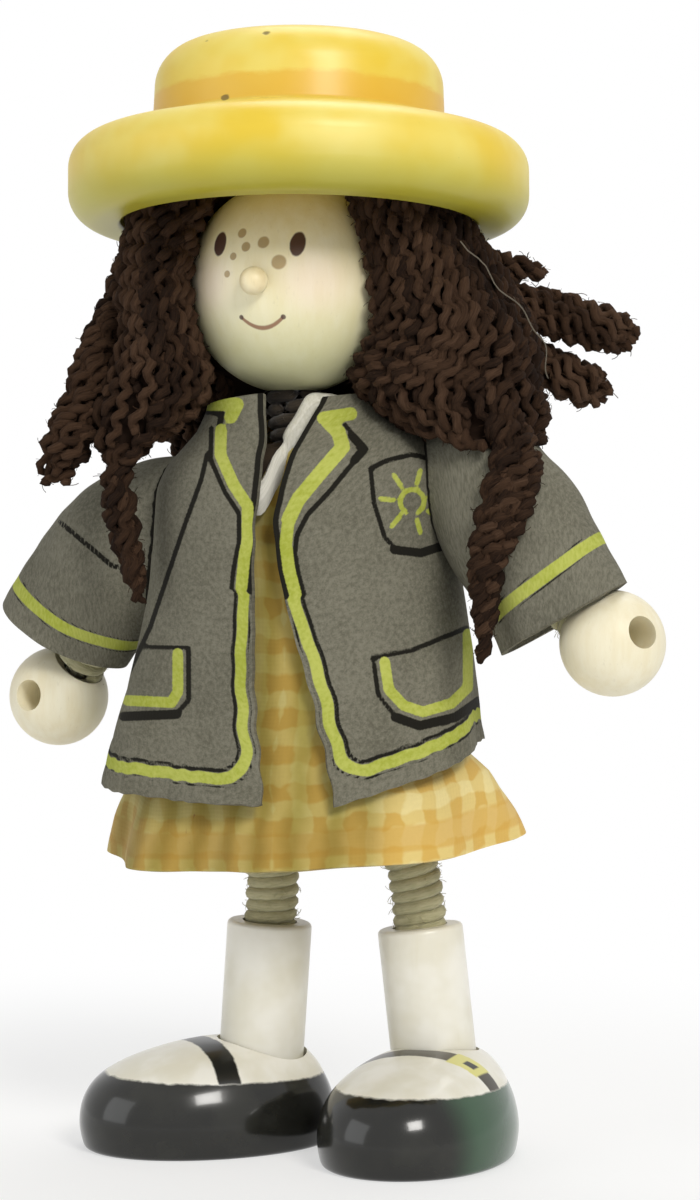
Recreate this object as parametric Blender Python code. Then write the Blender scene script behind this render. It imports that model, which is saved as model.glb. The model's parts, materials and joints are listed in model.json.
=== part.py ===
# Bendy wooden doll in a brimmed hat, school jacket and checked dress.
# The doll stands on z = 0 and faces -Y. Its own right side is at -X.
from math import acos, asin, atan2, ceil, cos, pi, radians, sin, sqrt, tan

import bmesh
import bpy
from mathutils import Euler, Matrix, Vector

mm = 0.001

# Fits shared by the whole doll
gap = 0.3 * mm
overrun = 1.0 * mm
crease_angle = radians(35)
round_sides = 28
bore_sides = 16
arc_steps = 3
small_arc_steps = 1
small_fillet = 0.6 * mm

# Where the bounding box's bottom centre comes to lie
box_centre_x = 1.417 * mm
box_centre_y = 0.509 * mm

# Limb: bendable wire with cord wound on it
wire_radius = 1.0 * mm
wire_sides = 10
cord_diameter = 1.0 * mm
cord_pitch = 1.62 * mm
cord_loop_points = 12
limb_radius = wire_radius + gap + cord_diameter
limb_sides = 12
limb_bore_radius = limb_radius + gap
limb_seat_depth = 2.0 * mm
wire_bore_radius = wire_radius + gap
wire_bore_depth = 5.0 * mm
bend_room = wire_radius + gap

# Torso, drilled for neck, arms and legs
torso_lean = radians(-5.5)
torso_pitch = radians(1.5)
hip_centre = Vector((2.0 * mm, 1.0 * mm, 36.0 * mm))
torso_height = 28.0 * mm
torso_foot_radius = 9.8 * mm
torso_top_radius = 8.0 * mm
torso_shoulder_fillet = 3.0 * mm
torso_foot_fillet = 0.8 * mm
torso_above_hip = 2.5 * mm
torso_top = torso_above_hip + torso_height
hip_spacing = 5.8 * mm
shoulder_reach = 11.6 * mm
shoulder_drop = 5.0 * mm
shoulder_height = torso_top - shoulder_drop
neck_length = 3.1 * mm

# Head and nose
head_radius = 10.0 * mm
head_turn = radians(-7.5)
head_rings = 14
neck_pivot_drop = 1.3 * mm
nose_radius = 1.3 * mm
nose_peg_radius = 0.6 * mm
nose_peg_length = 1.6 * mm
nose_dip = radians(-2.5)

# Hat
hat_radius = 21.4 * mm
hat_rim_height = 7.4 * mm
hat_rim_fillet = 2.9 * mm
hat_crown_foot = 9.4 * mm
hat_crown_radius = 13.6 * mm
hat_crown_taper = 0.3 * mm
hat_height = 16.8 * mm
hat_crown_fillet = 3.8 * mm
hat_step_fillet = 0.5 * mm
hat_seat = 5.5 * mm
hat_shift = 0.5 * mm
hat_recess_radius = 16.5 * mm
hat_recess_fillet = 0.3 * mm
hat_sides = 40
hat_tilt = radians(6.2)
hat_roll = radians(-2.1)

# Arms
forearm_length = 14.2 * mm
upper_arm_length = 10.3 * mm
hand_radius = 4.8 * mm
hand_hole_radius = 1.5 * mm
hand_sides = 20
hand_rings = 10
hand_seat_depth = 1.4 * mm
hand_wire_depth = 1.0 * mm
arm_raise = {"right": radians(36.3), "left": radians(50.2)}
arm_swing_back = {"right": radians(19.2), "left": radians(-24.1)}
hand_hole_aim = {"right": Vector((-0.367, -0.926, 0.07)), "left": Vector((0.693, -0.672, 0.26))}

# Legs
knee_above_shin = 4.5 * mm
shin_radius = 4.0 * mm
shin_length = 13.6 * mm
shin_edge_fillet = 0.4 * mm
foot_place = {"right": Vector((-5.35 * mm, 1.6 * mm, 0)), "left": Vector((12.85 * mm, 1.9 * mm, 0))}
shin_lean = {"right": radians(3.8), "left": radians(-6.4)}
toe_turn = {"right": radians(-61), "left": radians(-14)}

# Shoes
shoe_length = 24.6 * mm
shoe_width = 17.0 * mm
shoe_height = 10.0 * mm
shoe_heel = 7.7 * mm
shoe_seat = 7.2 * mm
shoe_sides = 26
shoe_toe_share = 0.10
# height, length, width and shift towards the heel
shoe_row_shares = [
    (0.00, 0.93, 0.92, 0.00),
    (0.05, 0.97, 0.97, 0.00),
    (0.26, 1.00, 1.00, 0.00),
    (0.48, 0.965, 0.96, 0.00),
    (0.66, 0.88, 0.87, 0.01),
    (0.80, 0.745, 0.74, 0.04),
    (0.91, 0.56, 0.57, 0.08),
    (0.98, 0.34, 0.36, 0.10),
    (1.00, 0.16, 0.18, 0.11),
]

# Dress
dress_hem = -6.3 * mm
dress_hem_dip = 1.3 * mm
dress_side_sag = 1.5 * mm
dress_chest_drop = 2.0 * mm
dress_chest = torso_top - dress_chest_drop
dress_width = 19.4 * mm
dress_depth = 15.4 * mm
dress_sway = 2.2 * mm
dress_cloth = 0.5 * mm
dress_fold = 0.75 * mm
dress_folds = 8
dress_sides = 40
# height from hem to chest, half width, half depth, strength of the folds, sway to the right
dress_row_shares = [
    (0.00, 1.00, 1.00, 1.0, 1.0),
    (0.09, 0.95, 0.89, 0.7, 1.05),
    (0.16, 0.88, 0.80, 0.5, 1.1),
    (0.21, 0.79, 0.78, 0.4, 1.15),
    (0.42, 0.61, 0.72, 0.1, 0.4),
    (0.60, 0.56, 0.695, 0.0, 0.1),
    (0.80, 0.525, 0.655, 0.0, 0.0),
    (1.00, 0.472, 0.595, 0.0, 0.0),
]
# turn from the front, radius and height of the neck edge
neck_edge_rise = 2.5 * mm
neck_edge_height = torso_top + neck_edge_rise
neck_edge_radius = 9.4 * mm
neck_edge_shares = [
    (0.0, 1.00, 0.757),
    (0.13, 0.99, 0.790),
    (0.25, 0.945, 0.873),
    (0.38, 0.77, 0.957),
    (0.50, 0.575, 0.982),
    (0.75, 0.53, 0.994),
    (1.0, 0.52, 1.00),
]
chest_dip = 5.9 * mm
binding_width = 1.7 * mm
binding_cloth = 0.5 * mm
binding_over = 0.25 * mm

# Jacket
jacket_hem = -0.1 * mm
collar_rise = 3.8 * mm
jacket_top = torso_top + collar_rise
jacket_width = 18.3 * mm
jacket_depth = 14.5 * mm
jacket_sway = 3.3 * mm
jacket_cloth = 0.7 * mm
jacket_front_dip = 1.6 * mm
jacket_side_rise = 1.2 * mm
jacket_fold = 0.55 * mm
jacket_folds = 6
jacket_columns = 28
armhole_radius = 6.4 * mm
armhole_drop = 2.2 * mm
armhole_start = 11.6 * mm
# height, half width, half depth, strength of the folds, sway to the right
jacket_row_shares = [
    (0.00, 1.00, 1.00, 1.0, 1.0),
    (0.05, 0.98, 0.965, 0.9, 0.95),
    (0.12, 0.955, 0.93, 0.7, 0.85),
    (0.25, 0.905, 0.88, 0.4, 0.6),
    (0.45, 0.835, 0.85, 0.1, 0.3),
    (0.62, 0.79, 0.83, 0.0, 0.1),
    (0.72, 0.77, 0.81, 0.0, 0.0),
    (0.80, 0.738, 0.78, 0.0, 0.0),
    (0.86, 0.672, 0.74, 0.0, 0.0),
    (0.905, 0.58, 0.67, 0.0, 0.0),
    (0.94, 0.505, 0.61, 0.0, 0.0),
    (1.00, 0.44, 0.53, 0.0, 0.0),
]
# height, and how far the right and the left front edge lie from the middle
jacket_front_gap = 4.0 * mm
jacket_edge_shares = [
    (0.00, -0.70, 0.96),
    (0.25, -0.80, 0.675),
    (0.45, -0.67, 0.45),
    (0.60, -0.56, 0.16),
    (0.70, -0.445, 0.07),
    (0.80, -0.265, 0.30),
    (0.90, -0.16, 0.66),
    (1.00, -0.20, 1.11),
]

# Sleeves, both from one pattern
sleeve_reach = 14.9 * mm
sleeve_drop = 12.3 * mm
sleeve_bulge = {"right": -0.5 * mm, "left": 1.9 * mm}
sleeve_radius = 7.3 * mm
sleeve_cloth = 0.6 * mm
sleeve_flat_share = 0.82
sleeve_sides = 22
# reach, drop, radius and tilt of each section in quarter turns
sleeve_row_shares = [
    (-0.06, 0.10, 0.90, 0.10),
    (0.20, 0.12, 0.94, 0.22),
    (0.42, 0.22, 0.96, 0.36),
    (0.64, 0.46, 0.98, 0.50),
    (0.84, 0.74, 0.99, 0.62),
    (1.00, 1.00, 1.00, 0.68),
]

# Hair of thick yarn, laid out in the plane in which the doll is looked at
hair_plane_turn = radians(14)
hair_sides = 18
tuft_sides = 8
hair_steps = 2
hair_lump_share = 0.035
hair_lumps = 7
hair_twist = radians(40)
neck_room_radius = 7.6 * mm
neck_room_depth = 3.0 * mm


# Colours
def finish(name, colour, roughness, metallic=0.0):
    made = bpy.data.materials.new(name)
    made.use_nodes = True
    shader = made.node_tree.nodes["Principled BSDF"]
    shader.inputs["Base Color"].default_value = (*colour, 1.0)
    shader.inputs["Roughness"].default_value = roughness
    shader.inputs["Metallic"].default_value = metallic
    return made


# Frames: empties that pieces hang from
def frame(name, parent, place, turn=None):
    made = bpy.data.objects.new(name, None)
    bpy.context.collection.objects.link(made)
    made.parent = parent
    made.rotation_mode = "YXZ"
    made.location = place
    if turn is not None:
        made.rotation_euler = turn
    return made


def aim(direction):
    # Turn that brings local -Z onto a direction by a swing about X and a spread about Y
    along = direction.normalized()
    return Euler((atan2(along.y, -along.z), asin(-along.x), 0), "YXZ")


def matrix_of(place, turn):
    return Matrix.Translation(place) @ turn.to_matrix().to_4x4()


# Solids
def skin(rings, loop=False):
    # Faces between rings of points; a ring of one point is a tip, and open ends are capped
    made = bmesh.new()
    rows = [[made.verts.new(point) for point in ring] for ring in rings]
    pairs = list(zip(rows, rows[1:]))
    if loop:
        pairs.append((rows[-1], rows[0]))
    for near, far in pairs:
        count = max(len(near), len(far))
        for i in range(count):
            j = (i + 1) % count
            if len(near) == 1:
                made.faces.new((near[0], far[j], far[i]))
            elif len(far) == 1:
                made.faces.new((near[i], near[j], far[0]))
            else:
                made.faces.new((near[i], near[j], far[j], far[i]))
    if not loop and len(rows[0]) > 1:
        made.faces.new(list(reversed(rows[0])))
    if not loop and len(rows[-1]) > 1:
        made.faces.new(rows[-1])
    bmesh.ops.recalc_face_normals(made, faces=made.faces)
    return made


def add_solid(name, made, look, parent, cutter=False):
    mesh = bpy.data.meshes.new(name)
    made.to_mesh(mesh)
    made.free()
    solid = bpy.data.objects.new(name, mesh)
    bpy.context.collection.objects.link(solid)
    solid.parent = parent
    if cutter:
        solid.hide_render = True
        solid.display_type = "WIRE"
        return solid
    mesh.materials.append(look)
    mesh.shade_smooth()
    mesh.set_sharp_from_angle(angle=crease_angle)
    return solid


def cut(solid, cutter):
    made = solid.modifiers.new("cut_by_" + cutter.name, "BOOLEAN")
    made.operation = "DIFFERENCE"
    made.solver = "EXACT"
    made.object = cutter


def ellipse(centre, across, deep, sides, lump=0.0, phase=0.0):
    # Points on an ellipse spanned by two vectors, with soft lobes when lump is set
    points = []
    for i in range(sides):
        turn = 2 * pi * i / sides
        swell = 1 + lump * cos(hair_lumps * turn + phase)
        points.append(centre + across * (cos(turn) * swell) + deep * (sin(turn) * swell))
    return points


def rounded_outline(corners):
    # Corners are (radius, height, fillet); a fillet becomes an arc
    points = []
    for index, (x, z, fillet) in enumerate(corners):
        here = Vector((x, z))
        if fillet == 0:
            points.append(here)
            continue
        back = (Vector(corners[index - 1][:2]) - here).normalized()
        ahead = (Vector(corners[index + 1][:2]) - here).normalized()
        half = acos(max(-1, min(1, back.dot(ahead)))) / 2
        middle = here + (back + ahead).normalized() * (fillet / sin(half))
        first = here + back * (fillet / tan(half)) - middle
        last = here + ahead * (fillet / tan(half)) - middle
        start = atan2(first.y, first.x)
        sweep = atan2(last.y, last.x) - start
        sweep = (sweep + pi) % (2 * pi) - pi
        steps = arc_steps if fillet > small_fillet else small_arc_steps
        for step in range(steps + 1):
            turn = start + sweep * step / steps
            points.append(middle + Vector((cos(turn), sin(turn))) * fillet)
    return points


def turned(corners, sides):
    # Solid of revolution about Z
    rings = []
    for point in rounded_outline(corners):
        if point.x < overrun * overrun:
            rings.append([Vector((0, 0, point.y))])
            continue
        rings.append(ellipse(Vector((0, 0, point.y)), Vector((point.x, 0, 0)), Vector((0, point.x, 0)), sides))
    return skin(rings)


def rod(radius, low, high, sides):
    return turned([(0, low, 0), (radius, low, 0), (radius, high, 0), (0, high, 0)], sides)


def ball(radius, sides, rings, foot=None):
    # Sphere, or from foot upwards a rod that ends in half a sphere round the origin
    points = []
    for step in range(rings + 1):
        turn = pi * step / rings - pi / 2
        if foot is None or turn <= 0:
            points.append((radius * cos(turn), radius * sin(turn), 0))
    if foot is not None:
        points.append((radius, foot, 0))
        points.append((0, foot, 0))
    points[0] = (0, -radius, 0)
    if foot is None:
        points[-1] = (0, radius, 0)
    return turned(points, sides)


def smooth_path(points, steps):
    # Catmull-Rom curve through vectors of any length
    path = []
    for index in range(len(points) - 1):
        p1 = points[index]
        p2 = points[index + 1]
        p0 = points[max(index - 1, 0)]
        p3 = points[min(index + 2, len(points) - 1)]
        for step in range(steps):
            t = step / steps
            path.append((p1 * 2 + (p2 - p0) * t + (p0 * 2 - p1 * 5 + p2 * 4 - p3) * t ** 2
                         + (p1 * 3 - p0 - p2 * 3 + p3) * t ** 3) / 2)
    path.append(points[-1])
    return path


def read_table(table, share):
    # Straight reading between the rows of a table whose first column rises
    for low, high in zip(table, table[1:]):
        if share <= high[0]:
            part = (share - low[0]) / (high[0] - low[0])
            return [a + (b - a) * part for a, b in zip(low, high)]
    return list(table[-1])


def along_path(path):
    # Tangent at each point of a path
    ways = []
    for index in range(len(path)):
        ahead = path[min(index + 1, len(path) - 1)]
        back = path[max(index - 1, 0)]
        ways.append((ahead - back).normalized())
    return ways


def carried_frames(path):
    # Two cross vectors at each point, carried along without twist
    ways = along_path(path)
    side = ways[0].orthogonal().normalized()
    frames = []
    for way in ways:
        side = (side - way * side.dot(way)).normalized()
        frames.append((side, way.cross(side)))
    return frames


def hollow_tube(path, outer, inner, sides):
    frames = carried_frames(path)
    outside = [ellipse(p, a * outer, b * outer, sides) for p, (a, b) in zip(path, frames)]
    inside = [ellipse(p, a * inner, b * inner, sides) for p, (a, b) in zip(path, frames)]
    return skin(outside + list(reversed(inside)), loop=True)


# Driving places of the skeleton
def torso_turn():
    return Euler((torso_pitch, torso_lean, 0), "YXZ")


torso_matrix = matrix_of(hip_centre, torso_turn())
neck_pivot_height = torso_top + neck_length
neck_pivot = torso_matrix @ Vector((0, 0, neck_pivot_height))
head_centre = neck_pivot + Vector((0, 0, neck_pivot_drop + head_radius))
side_sign = {"right": -1, "left": 1}


def shoulder_point(side):
    return torso_matrix @ Vector((side_sign[side] * shoulder_reach, 0, shoulder_height))


def hip_point(side):
    return torso_matrix @ Vector((side_sign[side] * hip_spacing, 0, 0))


def shin_axis(side):
    return Vector((sin(shin_lean[side]), 0, cos(shin_lean[side])))


def knee_point(side):
    return foot_place[side] + shin_axis(side) * (shoe_seat + gap + shin_length + knee_above_shin)


def arm_turn(side):
    return Euler((arm_swing_back[side], -side_sign[side] * arm_raise[side], 0), "YXZ")


# Head, nose and hat
def build_head(head_frame, wood):
    head = add_solid("head_ball", ball(head_radius, round_sides, head_rings), wood, head_frame)
    seat = rod(limb_bore_radius, -head_radius - overrun, limb_seat_depth - head_radius, bore_sides)
    cut(head, add_solid("neck_seat_cutter", seat, None, head_frame, cutter=True))
    bore = rod(wire_bore_radius, -head_radius, wire_bore_depth - head_radius, wire_sides)
    cut(head, add_solid("neck_bore_cutter", bore, None, head_frame, cutter=True))

    nose_frame = frame("nose_frame", head_frame, Vector((0, 0, 0)), Euler((pi / 2 - nose_dip, 0, 0), "YXZ"))
    hole = rod(nose_peg_radius + gap, head_radius - nose_peg_length - gap, head_radius + overrun, wire_sides)
    cut(head, add_solid("nose_hole_cutter", hole, None, nose_frame, cutter=True))
    nose_foot = head_radius + gap
    nose = turned([
        (0, head_radius - nose_peg_length, 0),
        (nose_peg_radius, head_radius - nose_peg_length, 0),
        (nose_peg_radius, nose_foot, 0),
        (nose_radius * sqrt(3) / 2, nose_foot, 0),
        (nose_radius, nose_foot + nose_radius / 2, 0),
        (nose_radius * sqrt(3) / 2, nose_foot + nose_radius, 0),
        (nose_radius / 2, nose_foot + nose_radius * (1 + sqrt(3)) / 2, 0),
        (0, nose_foot + nose_radius * 3 / 2, 0),
    ], wire_sides)
    add_solid("nose", nose, wood, nose_frame)


def build_hat(head_frame, paint):
    seat = Vector((hat_shift, 0, hat_seat))
    hat_frame = frame("hat_frame", head_frame, seat, Euler((-hat_tilt, hat_roll, 0), "YXZ"))
    recess = head_radius - hat_seat + gap
    hat = turned([
        (0, recess, 0),
        (hat_recess_radius, recess, 0),
        (hat_recess_radius, 0, hat_recess_fillet),
        (hat_radius, 0, hat_rim_fillet),
        (hat_radius, hat_rim_height, hat_rim_fillet),
        (hat_crown_radius, hat_crown_foot, hat_step_fillet),
        (hat_crown_radius - hat_crown_taper, hat_height, hat_crown_fillet),
        (0, hat_height, 0),
    ], hat_sides)
    add_solid("hat", hat, paint, hat_frame)
    room = turned([
        (0, recess - gap, 0),
        (hat_recess_radius - gap, recess - gap, 0),
        (hat_recess_radius - gap, -gap, 0),
        (hat_radius + gap, -gap, 0),
        (hat_radius + gap, hat_height, 0),
        (0, hat_height, 0),
    ], round_sides)
    return add_solid("hat_clearance", room, None, hat_frame, cutter=True)


# Torso and the wire ends that are glued into it
def build_torso(torso_frame, wood, steel):
    core = add_solid("torso_core", turned([
        (0, torso_above_hip, 0),
        (torso_foot_radius, torso_above_hip, torso_foot_fillet),
        (torso_top_radius, torso_top, torso_shoulder_fillet),
        (0, torso_top, 0),
    ], round_sides), wood, torso_frame)

    def drill(name, place, turn, face):
        # The cord's seat and the deeper wire bore, both along local -Z from the face
        hole_frame = frame(name + "_hole", torso_frame, place, turn)
        seat = rod(limb_bore_radius, face - limb_seat_depth, face + overrun, bore_sides)
        cut(core, add_solid(name + "_seat_cutter", seat, None, hole_frame, cutter=True))
        bore = rod(wire_bore_radius, face - wire_bore_depth, face, wire_sides)
        cut(core, add_solid(name + "_bore_cutter", bore, None, hole_frame, cutter=True))
        return hole_frame

    neck = drill("neck", Vector((0, 0, 0)), None, torso_top)
    low = torso_top - wire_bore_depth + gap
    add_solid("neck_wire_lower", rod(wire_radius, low, neck_pivot_height - bend_room, wire_sides), steel, neck)

    taper = (torso_foot_radius - torso_top_radius) / torso_height
    arm_face = torso_foot_radius - taper * (shoulder_height - torso_above_hip)
    for side, sign in side_sign.items():
        turn = Euler((0, sign * pi / 2, 0), "YXZ")
        arm = drill(side + "_arm", Vector((0, 0, shoulder_height)), turn, arm_face)
        low = arm_face - wire_bore_depth + gap
        root = rod(wire_radius, low, shoulder_reach - bend_room, wire_sides)
        add_solid(side + "_arm_wire_root", root, steel, arm)

        turn = Euler((pi, 0, 0), "YXZ")
        leg = drill(side + "_leg", Vector((sign * hip_spacing, 0, 0)), turn, -torso_above_hip)
        low = -torso_above_hip - wire_bore_depth + gap
        add_solid(side + "_leg_wire_root", rod(wire_radius, low, -bend_room, wire_sides), steel, leg)


def build_neck(doll, head_frame, steel, cord):
    bend_frame = frame("neck_bend", doll, neck_pivot)
    bend = ball(wire_radius, wire_sides, wire_sides // 2)
    add_solid("neck_wire_bend", bend, steel, bend_frame)
    top = wire_bore_depth - gap - head_radius
    low = -neck_pivot_drop - head_radius + bend_room
    add_solid("neck_wire_upper", rod(wire_radius, low, top, wire_sides), steel, head_frame)
    foot = torso_matrix @ Vector((0, 0, torso_top - limb_seat_depth + gap))
    tip = neck_pivot + Vector((0, 0, neck_pivot_drop + limb_seat_depth - gap))
    path = smooth_path([foot, neck_pivot, tip], hair_steps)
    add_solid("neck_winding", hollow_tube(path, limb_radius, wire_radius + gap, limb_sides), cord, doll)


# Arms: wires, winding and bead hand
def arm_path(side):
    # Centre line of the winding, from its seat in the torso to its seat in the hand
    sign = side_sign[side]
    taper = (torso_foot_radius - torso_top_radius) / torso_height
    arm_face = torso_foot_radius - taper * (shoulder_height - torso_above_hip)
    seat = torso_matrix @ Vector((sign * (arm_face - limb_seat_depth + gap), 0, shoulder_height))
    shoulder = shoulder_point(side)
    down = arm_turn(side).to_matrix() @ Vector((0, 0, -1))
    reach = upper_arm_length + forearm_length - hand_radius + hand_seat_depth - gap
    before = shoulder + (seat - shoulder).normalized() * wire_radius
    after = shoulder + down * wire_radius
    middle = (before + after) / 2 + (shoulder - (before + after) / 2) / 2
    return [seat, before, middle, after, shoulder + down * upper_arm_length, shoulder + down * reach]


def build_arm(side, doll, wood, steel, cord):
    shoulder_frame = frame(side + "_shoulder", doll, shoulder_point(side), arm_turn(side))
    bend = ball(wire_radius, wire_sides, wire_sides // 2)
    add_solid(side + "_arm_wire_bend", bend, steel, shoulder_frame)
    elbow_frame = frame(side + "_elbow", shoulder_frame, Vector((0, 0, -upper_arm_length)))
    upper = ball(wire_radius, wire_sides, wire_sides // 2, foot=upper_arm_length - bend_room)
    add_solid(side + "_upper_arm_wire", upper, steel, elbow_frame)

    wire_end = forearm_length - hand_radius + hand_seat_depth + hand_wire_depth - gap
    add_solid(side + "_forearm_wire", rod(wire_radius, -wire_end, -bend_room, wire_sides), steel, elbow_frame)
    winding = hollow_tube(arm_path(side), limb_radius, wire_radius + gap * 3 / 2, limb_sides)
    add_solid(side + "_arm_winding", winding, cord, doll)

    hand_frame = frame(side + "_wrist", elbow_frame, Vector((0, 0, -forearm_length)))
    hand = add_solid(side + "_hand", ball(hand_radius, hand_sides, hand_rings), wood, hand_frame)
    seat = rod(limb_bore_radius, hand_radius - hand_seat_depth, hand_radius + overrun, bore_sides)
    cut(hand, add_solid(side + "_hand_seat_cutter", seat, None, hand_frame, cutter=True))
    wire_floor = hand_radius - hand_seat_depth - hand_wire_depth
    bore = rod(wire_bore_radius, wire_floor, hand_radius, wire_sides)
    cut(hand, add_solid(side + "_hand_bore_cutter", bore, None, hand_frame, cutter=True))
    down = arm_turn(side).to_matrix() @ Vector((0, 0, -1))
    centre = shoulder_point(side) + down * (upper_arm_length + forearm_length)
    hole_frame = frame(side + "_hand_hole", doll, centre, aim(hand_hole_aim[side]))
    hole = rod(hand_hole_radius, -hand_radius - overrun, hand_radius + overrun, bore_sides)
    cut(hand, add_solid(side + "_hand_hole_cutter", hole, None, hole_frame, cutter=True))


# Legs: wires, winding of cord, shin and shoe
def winding_points(route):
    # Helix of cord round a smooth centre line, with straight ends along it
    path = smooth_path(route, cord_loop_points)
    frames = carried_frames(path)
    ways = along_path(path)
    turn_radius = wire_radius + gap + cord_diameter / 2
    lengths = [0]
    for near, far in zip(path, path[1:]):
        lengths.append(lengths[-1] + (far - near).length)
    straight = cord_diameter
    wound = lengths[-1] - 2 * straight
    loops = wound / cord_pitch
    count = ceil(loops * cord_loop_points)
    points = []
    for step in range(count + 1):
        at = straight + wound * step / count
        index = max(i for i, length in enumerate(lengths) if length <= at)
        index = min(index, len(path) - 2)
        part = (at - lengths[index]) / (lengths[index + 1] - lengths[index])
        turn = 2 * pi * step / cord_loop_points
        side = frames[index][0].lerp(frames[index + 1][0], part) * cos(turn)
        side += frames[index][1].lerp(frames[index + 1][1], part) * sin(turn)
        points.append(path[index].lerp(path[index + 1], part) + side.normalized() * turn_radius)
    points.insert(0, points[0] - ways[0] * straight)
    points.append(points[-1] + ways[-1] * straight)
    return points, loops


def least_gap(points):
    # Smallest clear distance between turns, half a loop or more apart along the cord
    apart = cord_loop_points // 2
    closest = min((points[i] - points[j]).length
                  for i in range(len(points)) for j in range(i + apart, len(points)))
    return closest - cord_diameter


def build_winding(name, doll, route, cord):
    points, loops = winding_points(route)
    print(name, "loops", round(loops, 1), "least gap in mm", round(least_gap(points) / mm, 3))
    curve = bpy.data.curves.new(name, "CURVE")
    curve.dimensions = "3D"
    curve.bevel_depth = cord_diameter / 2
    curve.bevel_resolution = 1
    curve.use_fill_caps = True
    spline = curve.splines.new("POLY")
    spline.points.add(len(points) - 1)
    for target, point in zip(spline.points, points):
        target.co = (*point, 1.0)
    curve.materials.append(cord)
    solid = bpy.data.objects.new(name, curve)
    bpy.context.collection.objects.link(solid)
    solid.parent = doll


def shoe_ring(height, length, width, shift):
    # Egg-shaped section, broad at the toe, round the shoe's own middle
    points = []
    middle = shoe_length / 2 - shoe_heel
    for i in range(shoe_sides):
        turn = 2 * pi * i / shoe_sides
        along = -cos(turn)
        broad = 1 - shoe_toe_share * along
        across = sin(turn) * width * broad * shoe_width / 2
        points.append(Vector((across, -middle + (along * length / 2 + shift) * shoe_length, height * shoe_height)))
    return points


def build_leg(side, doll, look):
    hip = hip_point(side)
    knee = knee_point(side)
    thigh_frame = frame(side + "_hip", doll, hip, aim(knee - hip))
    bend = ball(wire_radius, wire_sides, wire_sides // 2)
    add_solid(side + "_leg_wire_bend", bend, look["steel"], thigh_frame)
    thigh = (knee - hip).length
    knee_ball_frame = frame(side + "_knee_ball", thigh_frame, Vector((0, 0, -thigh)))
    upper = ball(wire_radius, wire_sides, wire_sides // 2, foot=thigh - bend_room)
    add_solid(side + "_thigh_wire", upper, look["steel"], knee_ball_frame)

    shin_frame = frame(side + "_knee", doll, knee, aim(-shin_axis(side)))
    top = -knee_above_shin
    wire_floor = top - limb_seat_depth - wire_bore_depth
    add_solid(side + "_shin_wire", rod(wire_radius, wire_floor + gap, -bend_room, wire_sides),
              look["steel"], shin_frame)
    shin = add_solid(side + "_shin", turned([
        (0, top - shin_length, 0),
        (shin_radius, top - shin_length, shin_edge_fillet),
        (shin_radius, top, shin_edge_fillet),
        (0, top, 0),
    ], hand_sides), look["sock"], shin_frame)
    seat = rod(limb_bore_radius, top - limb_seat_depth, top + overrun, bore_sides)
    cut(shin, add_solid(side + "_shin_seat_cutter", seat, None, shin_frame, cutter=True))
    bore = rod(wire_bore_radius, wire_floor, top, wire_sides)
    cut(shin, add_solid(side + "_shin_bore_cutter", bore, None, shin_frame, cutter=True))

    seat_in_torso = torso_matrix @ Vector((side_sign[side] * hip_spacing, 0,
                                           torso_above_hip + limb_seat_depth - gap))
    seat_in_shin = knee - shin_axis(side) * (knee_above_shin + limb_seat_depth - gap)
    build_winding(side + "_leg_winding", doll, [seat_in_torso, hip, knee, seat_in_shin], look["cord"])

    shoe_frame = frame(side + "_foot", doll, foot_place[side], Euler((0, 0, toe_turn[side]), "YXZ"))
    shoe = add_solid(side + "_shoe", skin([shoe_ring(*row) for row in shoe_row_shares]),
                     look["shoe"], shoe_frame)
    socket = rod(shin_radius + gap, top - shin_length - gap, top, hand_sides)
    cut(shoe, add_solid(side + "_shoe_socket_cutter", socket, None, shin_frame, cutter=True))


# Dress with its folds, and the binding at its neck
def dress_point(share, turn, inset):
    # Turn runs from the front, 0, past the doll's left side
    height, wide, deep, folds, sway = read_table(dress_row_shares, share)
    swell = dress_fold * folds * cos(dress_folds * turn)
    front = cos(turn)
    z = dress_hem + (dress_chest - dress_hem) * share
    z -= (dress_hem_dip * front + dress_side_sag * max(0, sin(turn))) * (1 - share)
    z -= chest_dip * max(0, share - dress_row_shares[-2][0]) / (1 - dress_row_shares[-2][0]) * max(0, front) ** 2
    across = wide * dress_width - inset + swell
    depth = deep * dress_depth - inset + swell
    return Vector((across * sin(turn) - sway * dress_sway, -depth * cos(turn), z))


def neck_edge(turn, inset):
    share = abs((turn + pi) % (2 * pi) - pi) / pi
    away, radius, height = read_table(neck_edge_shares, share)
    reach = radius * neck_edge_radius - inset
    return Vector((reach * sin(turn), -reach * cos(turn), height * neck_edge_height))


def build_dress(torso_frame, cloth, white):
    turns = [2 * pi * i / dress_sides for i in range(dress_sides)]
    rows = [row[0] for row in dress_row_shares]
    outside = [[dress_point(share, turn, 0) for turn in turns] for share in rows]
    outside.append([neck_edge(turn, 0) for turn in turns])
    inside = [[dress_point(share, turn, dress_cloth) for turn in turns] for share in rows]
    inside.append([neck_edge(turn, dress_cloth) for turn in turns])
    dress = add_solid("dress", skin(outside + list(reversed(inside)), loop=True), cloth, torso_frame)

    rings = []
    for turn in turns:
        edge = neck_edge(turn, 0)
        down = (dress_point(1, turn, 0) - edge).normalized()
        around = Vector((cos(turn), sin(turn), 0))
        out = around.cross(down).normalized()
        if out.dot(Vector((sin(turn), -cos(turn), 1))) < 0:
            out = -out
        low = edge + down * binding_width
        high = edge - down * binding_over
        rings.append([low + out * gap, low + out * (gap + binding_cloth),
                      high + out * (gap + binding_cloth), high + out * gap])
    add_solid("neckline_binding", skin(rings, loop=True), white, torso_frame)
    return dress


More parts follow.
